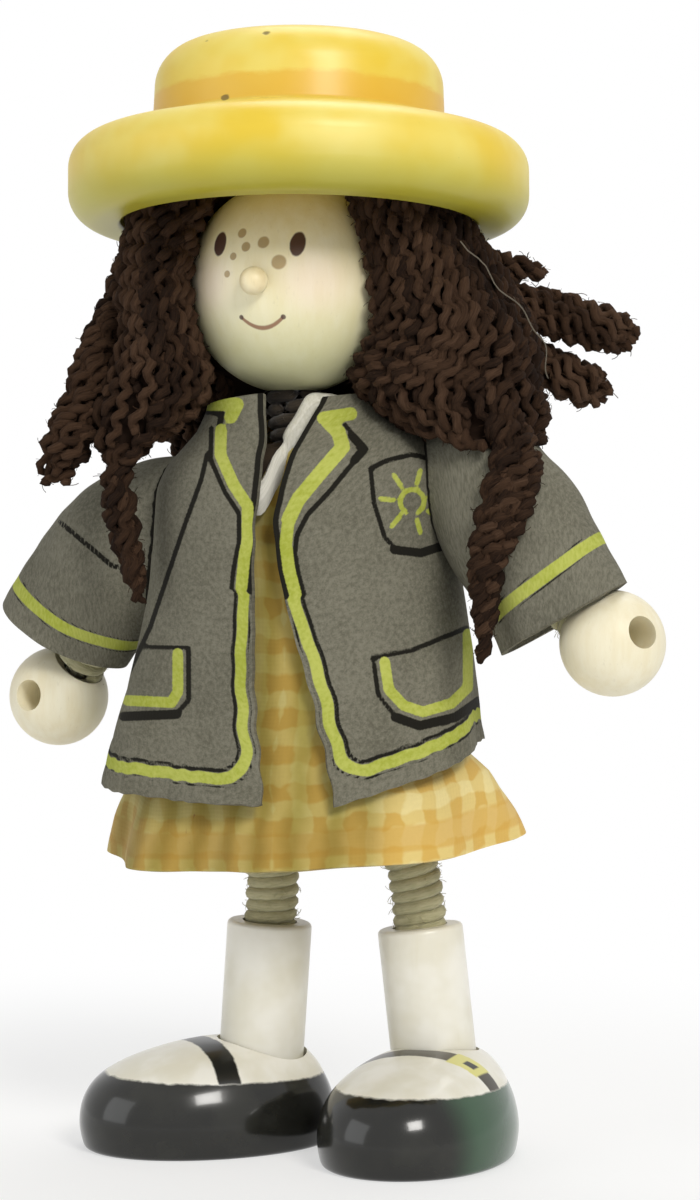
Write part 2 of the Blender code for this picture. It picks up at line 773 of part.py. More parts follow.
# Jacket and sleeves
def jacket_point(share, turn, extra=0.0):
    # Turn runs from the front, 0, past the doll's left side
    height, wide, deep, folds, sway = read_table(jacket_row_shares, share)
    swell = jacket_fold * folds * cos(jacket_folds * turn) + extra
    sag = jacket_side_rise * abs(sin(turn)) - jacket_front_dip * max(0, cos(turn))
    z = jacket_hem + (jacket_top - jacket_hem) * share + sag * max(0, 1 - share * 2)
    across = (wide * jacket_width + swell) * sin(turn) - sway * jacket_sway
    return Vector((across, -(deep * jacket_depth + swell) * cos(turn), z))


def build_jacket(torso_frame, cloth):
    made = bmesh.new()
    grid = []
    for share, wide, deep, folds, sway in jacket_row_shares:
        right_edge, left_edge = read_table(jacket_edge_shares, share)[1:]
        first = asin((left_edge * jacket_front_gap + sway * jacket_sway) / (wide * jacket_width))
        last = 2 * pi + asin((right_edge * jacket_front_gap + sway * jacket_sway) / (wide * jacket_width))
        turns = [first + (last - first) * i / jacket_columns for i in range(jacket_columns + 1)]
        grid.append([made.verts.new(jacket_point(share, turn)) for turn in turns])
    for low, high in zip(grid, grid[1:]):
        for i in range(jacket_columns):
            made.faces.new((low[i], low[i + 1], high[i + 1], high[i]))
    jacket = add_solid("jacket_body", made, cloth, torso_frame)
    lining = jacket.modifiers.new("cloth", "SOLIDIFY")
    lining.thickness = jacket_cloth
    lining.offset = -1
    lining.use_even_offset = True

    turns = [2 * pi * i / jacket_columns for i in range(jacket_columns)]
    rings = [[jacket_point(row[0], turn, gap) for turn in turns] for row in jacket_row_shares]
    rings[0] = [point - Vector((0, 0, gap)) for point in rings[0]]
    rings[-1] = [point + Vector((0, 0, gap)) for point in rings[-1]]
    room = add_solid("jacket_clearance", skin(rings), None, torso_frame, cutter=True)
    return jacket, room


def sleeve_rings(side, grow, beyond=0.0):
    # Sections of one sleeve; beyond pushes its two ends apart
    down = arm_turn(side).to_matrix() @ Vector((0, 0, -1))
    heading = Vector((down.x, down.y, 0)).normalized()
    level = Vector((-heading.y, heading.x, 0))
    shoulder = shoulder_point(side)
    rows = sleeve_row_shares
    rings = []
    for reach, drop, wide, tilt in rows:
        sag = drop * sleeve_drop - sleeve_bulge[side] * sin(pi * max(0, reach))
        centre = shoulder + heading * (reach * sleeve_reach) - Vector((0, 0, sag))
        turn = tilt * pi / 2
        upright = heading * sin(turn) + Vector((0, 0, cos(turn)))
        radius = wide * sleeve_radius + grow
        flat = wide * sleeve_radius * sleeve_flat_share + grow
        if beyond and (reach, drop) in (rows[0][:2], rows[-1][:2]):
            outward = level.cross(upright) * level.cross(upright).dot(heading)
            centre += outward.normalized() * (beyond if drop == rows[-1][1] else -beyond)
        rings.append(ellipse(centre, upright * radius, level * flat, sleeve_sides))
    return rings


def build_sleeve(side, doll, cloth, jacket_room):
    outside = sleeve_rings(side, 0)
    inside = sleeve_rings(side, -sleeve_cloth)
    sleeve = add_solid(side + "_sleeve", skin(outside + list(reversed(inside)), loop=True), cloth, doll)
    cut(sleeve, jacket_room)
    return add_solid(side + "_sleeve_clearance", skin(sleeve_rings(side, gap, gap)), None, doll, cutter=True)


def cut_armholes(torso_frame, dress, jacket):
    for side, sign in side_sign.items():
        turn = Euler((0, sign * pi / 2, 0), "YXZ")
        hole_frame = frame(side + "_armhole", torso_frame, Vector((0, 0, shoulder_height)), turn)
        low_frame = frame(side + "_armhole_low", torso_frame, Vector((0, 0, shoulder_height - armhole_drop)), turn)
        wide = rod(armhole_radius, armhole_start, jacket_width + overrun, round_sides)
        cut(jacket, add_solid(side + "_armhole_cutter", wide, None, low_frame, cutter=True))
        narrow = rod(limb_bore_radius, torso_top_radius, shoulder_reach, limb_sides)
        cut(dress, add_solid(side + "_dress_hole_cutter", narrow, None, hole_frame, cutter=True))


# Hair in shares of the head's radius: across, towards the viewer, up, half width, half depth
hair_mass_shares = {
    "hair_back": [
        (0, -0.5, 0.88, 1.08, 0.76), (0, -0.55, 0, 1.35, 0.88), (0.05, -0.65, -0.6, 1.45, 0.84),
        (0.1, -0.9, -1.2, 1.40, 0.66), (0.1, -1.35, -1.8, 1.15, 0.44), (0, -1.52, -2.3, 0.75, 0.30),
        (-0.1, -1.54, -2.65, 0.30, 0.14),
    ],
    "hair_left": [
        (0.98, 0.28, 0.88, 0.56, 0.72), (1.26, 0.32, 0, 0.78, 0.84), (1.43, 0.36, -0.45, 0.89, 0.80),
        (1.42, 0.44, -0.9, 0.92, 0.72), (1.62, 0.60, -1.22, 0.72, 0.56), (1.78, 0.76, -1.5, 0.45, 0.38),
        (1.86, 0.84, -1.78, 0.22, 0.22),
    ],
    "hair_right": [
        (-1.10, 0.08, 0.88, 0.42, 0.54), (-1.24, 0.14, 0, 0.42, 0.62), (-1.22, 0.18, -0.45, 0.40, 0.60),
        (-1.24, 0.26, -0.86, 0.50, 0.54), (-1.36, 0.36, -1.16, 0.48, 0.44), (-1.54, 0.50, -1.46, 0.28, 0.26),
        (-1.64, 0.56, -1.7, 0.12, 0.12),
    ],
}
# across, towards the viewer, up, radius
hair_lock_shares = {
    "hair_right_outer_lock": [
        (-1.44, -0.05, 0.46, 0.15), (-1.65, 0, -0.16, 0.17), (-1.84, 0.1, -0.63, 0.19),
        (-1.95, 0.25, -1.1, 0.23), (-2.10, 0.40, -1.5, 0.24), (-2.34, 0.48, -1.92, 0.14),
    ],
    "hair_left_tuft_upper": [
        (1.75, -0.55, 0.13, 0.17), (2.06, -0.58, 0.22, 0.17), (2.43, -0.62, 0.21, 0.13),
    ],
    "hair_left_tuft_middle": [
        (1.94, -0.30, -0.16, 0.22), (2.37, -0.42, -0.22, 0.235), (2.89, -0.45, -0.36, 0.235),
        (3.34, -0.50, -0.46, 0.18),
    ],
    "hair_left_tuft_lower": [
        (1.94, -0.50, -0.66, 0.23), (2.33, -0.58, -0.71, 0.22), (2.71, -0.60, -0.88, 0.23),
        (3.06, -0.62, -0.99, 0.18),
    ],
    "hair_left_strand": [
        (1.99, 1.12, -1.48, 0.22), (1.92, 1.34, -2.05, 0.24), (1.75, 1.46, -2.56, 0.19),
        (1.71, 1.46, -3.10, 0.11), (1.72, 1.40, -3.56, 0.065),
    ],
    "hair_right_strand": [
        (-1.62, 0.55, -1.73, 0.15), (-1.58, 0.52, -2.16, 0.17), (-1.48, 0.60, -2.59, 0.12),
        (-1.38, 0.66, -2.96, 0.07),
    ],
}


def mass_rings(rows, grow):
    rings = []
    path = smooth_path([Vector(row) * head_radius for row in rows], hair_steps)
    for index, (across, towards, up, wide, deep) in enumerate(path):
        rings.append(ellipse(Vector((across, -towards, up)), Vector((wide + grow, 0, 0)),
                             Vector((0, deep + grow, 0)), hair_sides, hair_lump_share, hair_twist * index))
    return rings


def lock_rings(rows, grow):
    rows = smooth_path([Vector(row) * head_radius for row in rows], hair_steps)
    path = [Vector((across, -towards, up)) for across, towards, up, radius in rows]
    rings = []
    for index, (point, (a, b)) in enumerate(zip(path, carried_frames(path))):
        radius = rows[index][3] + grow
        rings.append(ellipse(point, a * radius, b * radius, tuft_sides))
    return rings


def build_hair(head_level, yarn, cutters):
    hair_frame = frame("hair_plane", head_level, Vector((0, 0, 0)), Euler((0, 0, hair_plane_turn), "YXZ"))
    scalp = ball(head_radius + gap, round_sides, head_rings)
    taken = list(cutters)
    taken.append(add_solid("scalp_clearance", scalp, None, hair_frame, cutter=True))
    collar = rod(neck_room_radius, -head_radius - neck_room_depth, -neck_room_depth, bore_sides)
    taken.append(add_solid("neck_clearance", collar, None, hair_frame, cutter=True))
    for rows_of, shape in ((hair_mass_shares, mass_rings), (hair_lock_shares, lock_rings)):
        for name, rows in rows_of.items():
            piece = add_solid(name, skin(shape(rows, 0)), yarn, hair_frame)
            for cutter in taken:
                cut(piece, cutter)
            if rows_of is hair_mass_shares:
                taken.append(add_solid(name + "_clearance", skin(shape(rows, gap)), None, hair_frame, cutter=True))


def build_doll():
    for old in list(bpy.data.objects):
        bpy.data.objects.remove(old, do_unlink=True)
    look = {
        "wood": finish("bare_wood", (0.86, 0.80, 0.62), 0.45),
        "hat": finish("yellow_paint", (0.86, 0.70, 0.10), 0.3),
        "steel": finish("wire_steel", (0.55, 0.55, 0.56), 0.4, 1.0),
        "cord": finish("wound_cord", (0.78, 0.72, 0.52), 0.9),
        "sock": finish("white_paint", (0.90, 0.89, 0.84), 0.35),
        "shoe": finish("black_gloss_paint", (0.02, 0.02, 0.02), 0.15),
        "dress": finish("gingham_cotton", (0.90, 0.68, 0.25), 0.9),
        "white": finish("white_binding", (0.88, 0.86, 0.80), 0.9),
        "jacket": finish("grey_cotton", (0.30, 0.30, 0.27), 0.95),
        "yarn": finish("dark_yarn", (0.09, 0.05, 0.04), 0.95),
    }
    doll = frame("doll", None, Vector((-box_centre_x, -box_centre_y, 0)))
    torso_frame = frame("torso_lean", doll, hip_centre, torso_turn())
    head_level = frame("head_level", doll, head_centre)
    head_frame = frame("head_turn", head_level, Vector((0, 0, 0)), Euler((0, 0, head_turn), "YXZ"))

    build_torso(torso_frame, look["wood"], look["steel"])
    build_neck(doll, head_frame, look["steel"], look["cord"])
    build_head(head_frame, look["wood"])
    hat_room = build_hat(head_frame, look["hat"])
    for side in side_sign:
        build_arm(side, doll, look["wood"], look["steel"], look["cord"])
        build_leg(side, doll, look)
    dress = build_dress(torso_frame, look["dress"], look["white"])
    jacket, jacket_room = build_jacket(torso_frame, look["jacket"])
    cut_armholes(torso_frame, dress, jacket)
    cutters = [hat_room, jacket_room]
    for side in side_sign:
        cutters.append(build_sleeve(side, doll, look["jacket"], jacket_room))
    build_hair(head_level, look["yarn"], cutters)


build_doll()
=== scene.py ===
import json
from functools import reduce
from math import acos, asin, atan2, cos, pi, radians, sin, sqrt
import bmesh
import bpy
import numpy as np
from mathutils import Euler, Matrix, Vector


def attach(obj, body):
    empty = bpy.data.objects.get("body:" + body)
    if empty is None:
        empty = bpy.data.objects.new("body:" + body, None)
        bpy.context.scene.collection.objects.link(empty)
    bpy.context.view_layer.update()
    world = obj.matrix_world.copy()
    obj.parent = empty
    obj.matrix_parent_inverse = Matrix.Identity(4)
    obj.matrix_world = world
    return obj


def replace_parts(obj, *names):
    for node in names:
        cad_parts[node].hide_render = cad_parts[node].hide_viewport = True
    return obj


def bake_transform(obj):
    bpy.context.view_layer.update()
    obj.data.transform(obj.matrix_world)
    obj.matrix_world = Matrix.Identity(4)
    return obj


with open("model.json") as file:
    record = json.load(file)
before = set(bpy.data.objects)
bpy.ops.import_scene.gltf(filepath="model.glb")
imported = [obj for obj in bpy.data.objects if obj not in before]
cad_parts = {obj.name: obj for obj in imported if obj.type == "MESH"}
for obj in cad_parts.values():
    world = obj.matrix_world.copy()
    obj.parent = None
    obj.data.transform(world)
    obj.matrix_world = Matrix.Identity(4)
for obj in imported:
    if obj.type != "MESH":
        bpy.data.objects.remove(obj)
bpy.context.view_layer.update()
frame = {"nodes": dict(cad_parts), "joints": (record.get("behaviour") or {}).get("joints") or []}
mm = 0.001


# Node trees: a socket with arithmetic, and one way to add any node

class Signal:
    def __init__(self, board, socket):
        self.board = board
        self.socket = socket

    def maths(self, operation, *values):
        return self.board.add("ShaderNodeMath", dict(enumerate(values)), operation=operation)

    def __add__(self, other):
        return self.maths("ADD", self, other)

    def __radd__(self, other):
        return self.maths("ADD", other, self)

    def __sub__(self, other):
        return self.maths("SUBTRACT", self, other)

    def __rsub__(self, other):
        return self.maths("SUBTRACT", other, self)

    def __mul__(self, other):
        return self.maths("MULTIPLY", self, other)

    def __rmul__(self, other):
        return self.maths("MULTIPLY", other, self)

    def __truediv__(self, other):
        return self.maths("DIVIDE", self, other)

    def __rtruediv__(self, other):
        return self.maths("DIVIDE", other, self)

    def __pow__(self, other):
        return self.maths("POWER", self, other)

    def __gt__(self, other):
        return self.maths("GREATER_THAN", self, other)

    def __lt__(self, other):
        return self.maths("LESS_THAN", self, other)

    def root(self):
        return self.maths("SQRT", self)

    def size(self):
        return self.maths("ABSOLUTE", self)

    def wave(self):
        return self.maths("SINE", self)

    def most(self, other):
        return self.maths("MAXIMUM", self, other)

    def rise(self, low, high):
        # 0 below low, 1 above high, smooth between
        return self.board.add("ShaderNodeMapRange", {"Value": self, 1: low, 2: high},
                              interpolation_type="SMOOTHSTEP")

    def part(self, index):
        return self.board.add("ShaderNodeSeparateXYZ", {0: self}, output=index)


class Board:
    def __init__(self, tree):
        self.tree = tree

    def add(self, kind, values=None, output=0, stops=None, **settings):
        node = self.tree.nodes.new(kind)
        for name, value in settings.items():
            setattr(node, name, value)
        for index, (place, colour) in enumerate(stops or ()):
            ramp = node.color_ramp.elements
            stop = ramp[index] if index < 2 else ramp.new(place)
            stop.position = place
            stop.color = (*colour, 1)
        for key, value in (values or {}).items():
            if isinstance(value, Signal):
                self.tree.links.new(value.socket, node.inputs[key])
            else:
                node.inputs[key].default_value = value
        return Signal(self, node.outputs[output])


class Paint(Board):
    # A material built on the Principled shader, with uniform values set on its own sockets
    def __init__(self, name, roughness=0.5, **fixed):
        self.material = bpy.data.materials.new(name)
        self.material.use_nodes = True
        super().__init__(self.material.node_tree)
        self.shader = self.tree.nodes["Principled BSDF"]
        self.shader.inputs["Roughness"].default_value = roughness
        for key, value in fixed.items():
            self.shader.inputs[key.replace("_", " ")].default_value = value
        self.place = self.add("ShaderNodeTexCoord", output=3)

    def noise(self, scale, detail=2.0, roughness=0.5, place=None):
        return self.add("ShaderNodeTexNoise", {"Vector": place or self.place, "Scale": scale, "Detail": detail,
                                               "Roughness": roughness})

    def attribute(self, name, output=2):
        return self.add("ShaderNodeAttribute", output=output, attribute_name=name)

    def moved(self, turn=(0, 0, 0), scale=(1, 1, 1), place=None):
        return self.add("ShaderNodeMapping", {0: place or self.place, 2: turn, 3: scale})

    def within(self, matrix):
        # The place as a frame of the doll's own has it
        return self.add("ShaderNodeMapping", {0: self.place, 1: tuple(matrix.translation),
                                              2: tuple(matrix.to_euler())}, vector_type="TEXTURE")

    def inMm(self, place):
        return [place.part(i) / mm for i in range(3)]

    def mix(self, share, low, high, blend="MIX"):
        low, high = [(*c, 1) if isinstance(c, tuple) else c for c in (low, high)]
        return self.add("ShaderNodeMix", {0: share, 6: low, 7: high}, output=2, data_type="RGBA", blend_type=blend)

    def feed(self, colour=None, roughness=None, height=None, strength=0.5, distance=0.1 * mm, **more):
        if colour is not None:
            self.tree.links.new(colour.socket, self.shader.inputs["Base Color"])
        if roughness is not None:
            self.tree.links.new(roughness.socket, self.shader.inputs["Roughness"])
        for key, value in more.items():
            self.tree.links.new(value.socket, self.shader.inputs[key.replace("_", " ")])
        if height is not None:
            bump = self.add("ShaderNodeBump", {"Height": height, "Strength": strength, "Distance": distance})
            self.tree.links.new(bump.socket, self.shader.inputs["Normal"])
        return self.material


# Meshes

def makePiece(name, points, faces, material, smooth=True, uv=None, values=None):
    mesh = bpy.data.meshes.new(name)
    mesh.from_pydata([tuple(p) for p in points], [], [tuple(f) for f in faces])
    mesh.materials.append(material)
    if uv is not None:
        layer = mesh.uv_layers.new(name="cloth")
        corners = np.array([c for f in faces for c in f])
        layer.data.foreach_set("uv", np.asarray(uv, float)[corners].ravel())
    for key, numbers in (values or {}).items():
        mesh.attributes.new(key, "FLOAT", "POINT").data.foreach_set("value", np.asarray(numbers, float))
    if smooth:
        mesh.shade_smooth()
    piece = bpy.data.objects.new(name, mesh)
    bpy.context.scene.collection.objects.link(piece)
    return piece


def faceOut(piece):
    made = bmesh.new()
    made.from_mesh(piece.data)
    bmesh.ops.remove_doubles(made, verts=made.verts, dist=0.002 * mm)
    bmesh.ops.recalc_face_normals(made, faces=made.faces)
    made.to_mesh(piece.data)
    made.free()
    return piece


def settle(piece):
    # The evaluated mesh takes the place of the modifiers
    bpy.context.view_layer.update()
    evaluated = piece.evaluated_get(bpy.context.evaluated_depsgraph_get())
    mesh = bpy.data.meshes.new_from_object(evaluated, preserve_all_data_layers=True,
                                           depsgraph=bpy.context.evaluated_depsgraph_get())
    piece.modifiers.clear()
    piece.data = mesh
    mesh.name = piece.name
    return piece


def gridFaces(rows, columns, loop=False):
    faces = []
    for row in range(rows - 1):
        for column in range(columns if loop else columns - 1):
            ahead = (column + 1) % columns
            faces.append((row * columns + column, row * columns + ahead,
                          (row + 1) * columns + ahead, (row + 1) * columns + column))
    return faces


def placeAt(piece, matrix):
    # The place goes into the mesh, and the object stays at the origin
    piece.data.transform(matrix)
    return piece


def roundCorners(corners, steps):
    # Outline from (radius, height, fillet) corners
    points = []
    for index, (x, z, fillet) in enumerate(corners):
        here = Vector((x, z))
        if not fillet:
            points.append(here)
            continue
        back = (Vector(corners[index - 1][:2]) - here).normalized()
        ahead = (Vector(corners[index + 1][:2]) - here).normalized()
        half = acos(max(-1, min(1, back.dot(ahead)))) / 2
        middle = here + (back + ahead).normalized() * (fillet / sin(half))
        first = here + back * (fillet / (sin(half) / cos(half))) - middle
        last = here + ahead * (fillet / (sin(half) / cos(half))) - middle
        start = atan2(first.y, first.x)
        sweep = (atan2(last.y, last.x) - start + pi) % (2 * pi) - pi
        for step in range(steps + 1):
            turn = start + sweep * step / steps
            points.append(middle + Vector((cos(turn), sin(turn))) * fillet)
    return points


def lathe(name, outline, sides, material, wobble=None):
    points = []
    for point in outline:
        for i in range(sides):
            turn = 2 * pi * i / sides
            radius = point[0] * (1 + (wobble(turn, point[1]) if wobble else 0))
            points.append((radius * cos(turn) * mm, radius * sin(turn) * mm, point[1] * mm))
    faces = gridFaces(len(outline), sides, loop=True)
    piece = makePiece(name, points, faces, material)
    return faceOut(piece)


def drill(piece, *tools):
    for tool in tools:
        cut = piece.modifiers.new("drill", "BOOLEAN")
        cut.operation = "DIFFERENCE"
        cut.solver = "EXACT"
        cut.object = tool
    settle(piece)
    for tool in tools:
        bpy.data.objects.remove(tool, do_unlink=True)
    return piece


def sharpen(piece, degrees=35):
    piece.data.shade_smooth()
    piece.data.set_sharp_from_angle(angle=radians(degrees))
    return piece


def smoothPath(points, steps):
    # Curve through rows of numbers of any length
    points = np.asarray(points, float)
    padded = np.vstack([points[:1], points, points[-1:]])
    t = (np.arange(steps) / steps)[:, None]
    spans = []
    for i in range(len(points) - 1):
        a, b, c, d = padded[i:i + 4]
        spans.append((2 * b + (c - a) * t + (2 * a - 5 * b + 4 * c - d) * t ** 2
                      + (3 * b - a - 3 * c + d) * t ** 3) / 2)
    return np.vstack(spans + [points[-1:]])


def readRows(table, share):
    # Smooth reading of a table whose first column rises
    table = np.asarray(table, float)
    place = np.interp(share, table[:, 0], np.arange(len(table)))
    lines = smoothPath(table, 24)
    at = np.clip(np.asarray(place) * 24, 0, len(lines) - 1)
    low = np.floor(at).astype(int)
    high = np.minimum(low + 1, len(lines) - 1)
    part = (at - low)[..., None]
    return lines[low] * (1 - part) + lines[high] * part


def softNoise(seed, places, scale):
    # Smooth repeatable noise from -1 to 1 at rows of points, made of a few turned waves
    rng = np.random.default_rng(seed)
    places = np.asarray(places, float)
    total = np.zeros(places.shape[:-1])
    for _ in range(6):
        way = rng.normal(size=places.shape[-1])
        way *= rng.uniform(0.6, 1.6) / np.linalg.norm(way)
        total += np.sin(places @ way * scale + rng.uniform(0, 2 * pi))
    return total / 3.2


# The doll's frames, in the CAD model's own sizes

doll = {
    "boxCentre": (1.417, 0.509),
    "hipCentre": (2.0, 1.0, 36.0),
    "lean": -5.5,
    "pitch": 1.5,
    "headTurn": -7.5,
    "shoulderHeight": 25.5,
    "hipSpacing": 5.8,
    "armRaise": {"right": 36.3, "left": 50.2},
    "armBack": {"right": 19.2, "left": -24.1},
    "footPlace": {"right": (-5.35, 1.6), "left": (12.85, 1.9)},
    "toeTurn": {"right": -61.0, "left": -14.0},
    "shinLean": {"right": 3.8, "left": -6.4},
    "cameraTurn": 14.0,
}
sign = {"right": -1, "left": 1}
joints = {j["name"]: j for j in frame["joints"]}
origin = Vector((-doll["boxCentre"][0], -doll["boxCentre"][1], 0)) * mm


def framed(x, y, z, turnX=0.0, turnY=0.0, turnZ=0.0):
    turn = Euler((radians(turnX), radians(turnY), radians(turnZ)), "YXZ")
    return Matrix.Translation(Vector((x, y, z)) * mm) @ turn.to_matrix().to_4x4()


def toWorld(matrix, places):
    # Rows of places in mm, from a frame to the world
    return places @ np.array(matrix.to_3x3()).T + np.array(matrix.translation) / mm


def inFrame(matrix, places):
    return (places - np.array(matrix.translation) / mm) @ np.array(matrix.to_3x3())


dollFrame = Matrix.Translation(origin)
torsoFrame = dollFrame @ framed(*doll["hipCentre"], doll["pitch"], doll["lean"])
headPlace = Vector(joints["head_turn"]["pos_m"])
headLevel = Matrix.Translation(headPlace)
headFrame = headLevel @ framed(0, 0, 0, 0, 0, doll["headTurn"])
neckPlace = Vector(joints["neck_nod"]["pos_m"])
shoulderPlace = {side: Vector(joints[side + "_shoulder_swing"]["pos_m"]) for side in sign}
hipPlace = {side: Vector(joints[side + "_hip_swing"]["pos_m"]) for side in sign}
kneePlace = {side: Vector(joints[side + "_knee_bend"]["pos_m"]) for side in sign}
armTurn = {side: Euler((radians(doll["armBack"][side]), radians(-sign[side] * doll["armRaise"][side]), 0), "YXZ")
           for side in sign}
armDown = {side: armTurn[side].to_matrix() @ Vector((0, 0, -1)) for side in sign}
footFrame = {side: dollFrame @ framed(*doll["footPlace"][side], 0, 0, 0, doll["toeTurn"][side]) for side in sign}


# Bare wood and the face

face = {
    "wood": (0.80, 0.72, 0.50),
    "paleWood": (0.87, 0.82, 0.64),
    "greenPaintedShade": (0.52, 0.55, 0.30),
    "stained": (0.84, 0.75, 0.46),
    "paleStained": (0.90, 0.83, 0.60),
    "eyes": [(-3.85, 3.62, 0.70, 1.12), (3.80, 3.45, 0.66, 1.12)],
    "eyeBrown": (0.070, 0.032, 0.022),
    "mouthMiddle": (0.62, -4.12),
    "mouthHalf": 2.0,
    "mouthRise": 0.98,
    "mouthWidth": 0.19,
    "mouthEnd": 0.22,
    "mouthBrown": (0.26, 0.12, 0.06),
    "freckles": [(-1.55, 4.53, 0.44), (-0.92, 3.25, 0.44), (0.75, 3.62, 0.54), (-2.15, 2.4, 0.35),
                 (-2.7, 0.8, 0.32), (2.35, 1.8, 0.66)],
    "freckleTan": (0.38, 0.26, 0.11),
    "blush": [(-5.1, 0.2, 2.3), (5.4, 0.2, 2.4)],
    "blushPink": (0.82, 0.63, 0.58),
}


def woodSignals(paint, place, dark, pale):
    # Pale close-grained wood: long faint streaks, small flecks and a soft change of tone
    streaks = paint.noise(900, 4, 0.6, paint.moved(scale=(1, 1, 0.12), place=place))
    flecks = paint.noise(3200, 2, 0.6, paint.moved(scale=(1, 1, 0.25), place=place))
    clouds = paint.noise(120, 2, 0.5, place)
    tone = streaks * 0.5 + clouds * 0.5
    colour = paint.mix(tone.rise(0.35, 0.68), dark, pale)
    colour = paint.mix(flecks.rise(0.62, 0.75) * 0.22, colour, tuple(c * 0.72 for c in dark))
    return colour, streaks, flecks


def bareWood(name):
    paint = Paint(name, 0.45)
    colour, streaks, flecks = woodSignals(paint, paint.place, face["wood"], face["paleWood"])
    return paint.feed(colour, 0.36 + streaks * 0.2, streaks * 0.6 + flecks * 0.4, 0.25, 0.05 * mm)


def facePaint():
    paint = Paint("paintedFace", 0.42)
    colour, streaks, flecks = woodSignals(paint, paint.place, face["stained"], face["paleStained"])
    across, deep, up = paint.inMm(paint.within(headFrame))
    front = deep < -1.0
    ragged = paint.noise(2500, 2, 0.5) * 0.10 - 0.05

    def spot(x, z, wide, high, soft):
        # 1 inside an ellipse on the front of the ball
        away = (((across - x) / wide) ** 2 + ((up - z) / high) ** 2).root() + ragged
        return (1 - away.rise(1 - soft, 1 + soft)) * front

    # Painted shade: the lower part of the face is mixed toward a darker green
    lower = 1 - up.rise(-9.5, 1.5)
    colour = paint.mix(lower * 0.65, colour, face["greenPaintedShade"])
    for x, z, radius in face["blush"]:
        colour = paint.mix(spot(x, z, radius, radius, 0.75) * 0.38, colour, face["blushPink"])
    for x, z, radius in face["freckles"]:
        colour = paint.mix(spot(x, z, radius, radius, 0.16) * 0.85, colour, face["freckleTan"])
    for x, z, wide, high in face["eyes"]:
        colour = paint.mix(spot(x, z, wide, high, 0.10), colour, face["eyeBrown"])
    x, z = face["mouthMiddle"]
    along = (across - x) / face["mouthHalf"]
    curve = ((up - z) - along * along * face["mouthRise"]).size() + ragged * 0.6
    mouth = (1 - curve.rise(face["mouthWidth"] * 0.6, face["mouthWidth"] * 1.4)) * (along.size() < 1) * front
    colour = paint.mix(mouth * 0.92, colour, face["mouthBrown"])
    for end in (-1, 1):
        dot = spot(x + end * face["mouthHalf"], z + face["mouthRise"], face["mouthEnd"], face["mouthEnd"], 0.25)
        colour = paint.mix(dot * 0.9, colour, face["eyeBrown"])
    return paint.feed(colour, 0.34 + streaks * 0.18, streaks * 0.6 + flecks * 0.4, 0.22, 0.05 * mm)


head = {
    "radius": 10.0, "sides": 96, "rings": 64, "gap": 0.3, "seatDepth": 2.0, "boreDepth": 5.0,
    "noseRadius": 1.3, "noseDip": 0.4, "noseTurn": 2.4, "noseSides": 40, "noseRings": 24, "noseFoot": -30,
    "pegRadius": 0.6, "pegLength": 1.8, "pegHole": 0.9, "pegHoleDepth": 1.9,
    "noseWood": (0.80, 0.66, 0.38), "paleNoseWood": (0.90, 0.80, 0.54),
}
# The drilled ends of the limbs: a seat for the cord and a narrower bore for the wire
drilled = {"seatRadius": 2.6, "boreRadius": 1.3, "beyond": 1.0}


def ballOutline(radius, rings, low=-90.0, high=90.0):
    turns = [radians(low + (high - low) * i / rings) for i in range(rings + 1)]
    return [(max(0.0, radius * cos(t)), radius * sin(t)) for t in turns]


def cutter(name, radius, low, high, matrix, sides=40):
    tool = lathe(name, [(0, low), (radius, low), (radius, high), (0, high)], sides, blankMaterial)
    return placeAt(tool, matrix)


blankMaterial = bpy.data.materials.new("toolOnly")
woodMaterial = bareWood("bareWood")
faceMaterial = facePaint()


def buildHead():
    ball = lathe("headBall", ballOutline(head["radius"], head["rings"]), head["sides"], faceMaterial)
    placeAt(ball, headFrame)
    foot, beyond = -head["radius"], drilled["beyond"]
    seat = cutter("seatTool", drilled["seatRadius"], foot - beyond, foot + head["seatDepth"], headFrame)
    bore = cutter("boreTool", drilled["boreRadius"], foot - beyond, foot + head["boreDepth"], headFrame)
    noseFrame = headFrame @ framed(0, 0, 0, 0, 0, head["noseTurn"]) @ framed(0, 0, 0, 90 - head["noseDip"])
    hole = cutter("noseTool", head["pegHole"], head["radius"] - head["pegHoleDepth"], head["radius"] + beyond,
                  noseFrame)
    sharpen(drill(ball, seat, bore, hole))
    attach(ball, "head")
    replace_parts(ball, "head_ball")

    radius = head["noseRadius"]
    base = head["radius"] + head["gap"]
    peg, pegEnd = head["pegRadius"], base - head["pegLength"]
    outline = [(0, pegEnd), (peg, pegEnd), (peg, base)]
    outline += [(x, z + base + radius / 2) for x, z in ballOutline(radius, head["noseRings"], head["noseFoot"])]
    nose = lathe("woodenNose", outline, head["noseSides"], noseWood())
    placeAt(nose, noseFrame)
    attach(sharpen(nose), "head")
    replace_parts(nose, "nose")


def noseWood():
    paint = Paint("noseWood", 0.4)
    colour, streaks = woodSignals(paint, paint.place, head["noseWood"], head["paleNoseWood"])[:2]
    return paint.feed(colour, 0.32 + streaks * 0.2, streaks, 0.2, 0.04 * mm)


buildHead()
print("head and nose made")


# Hat

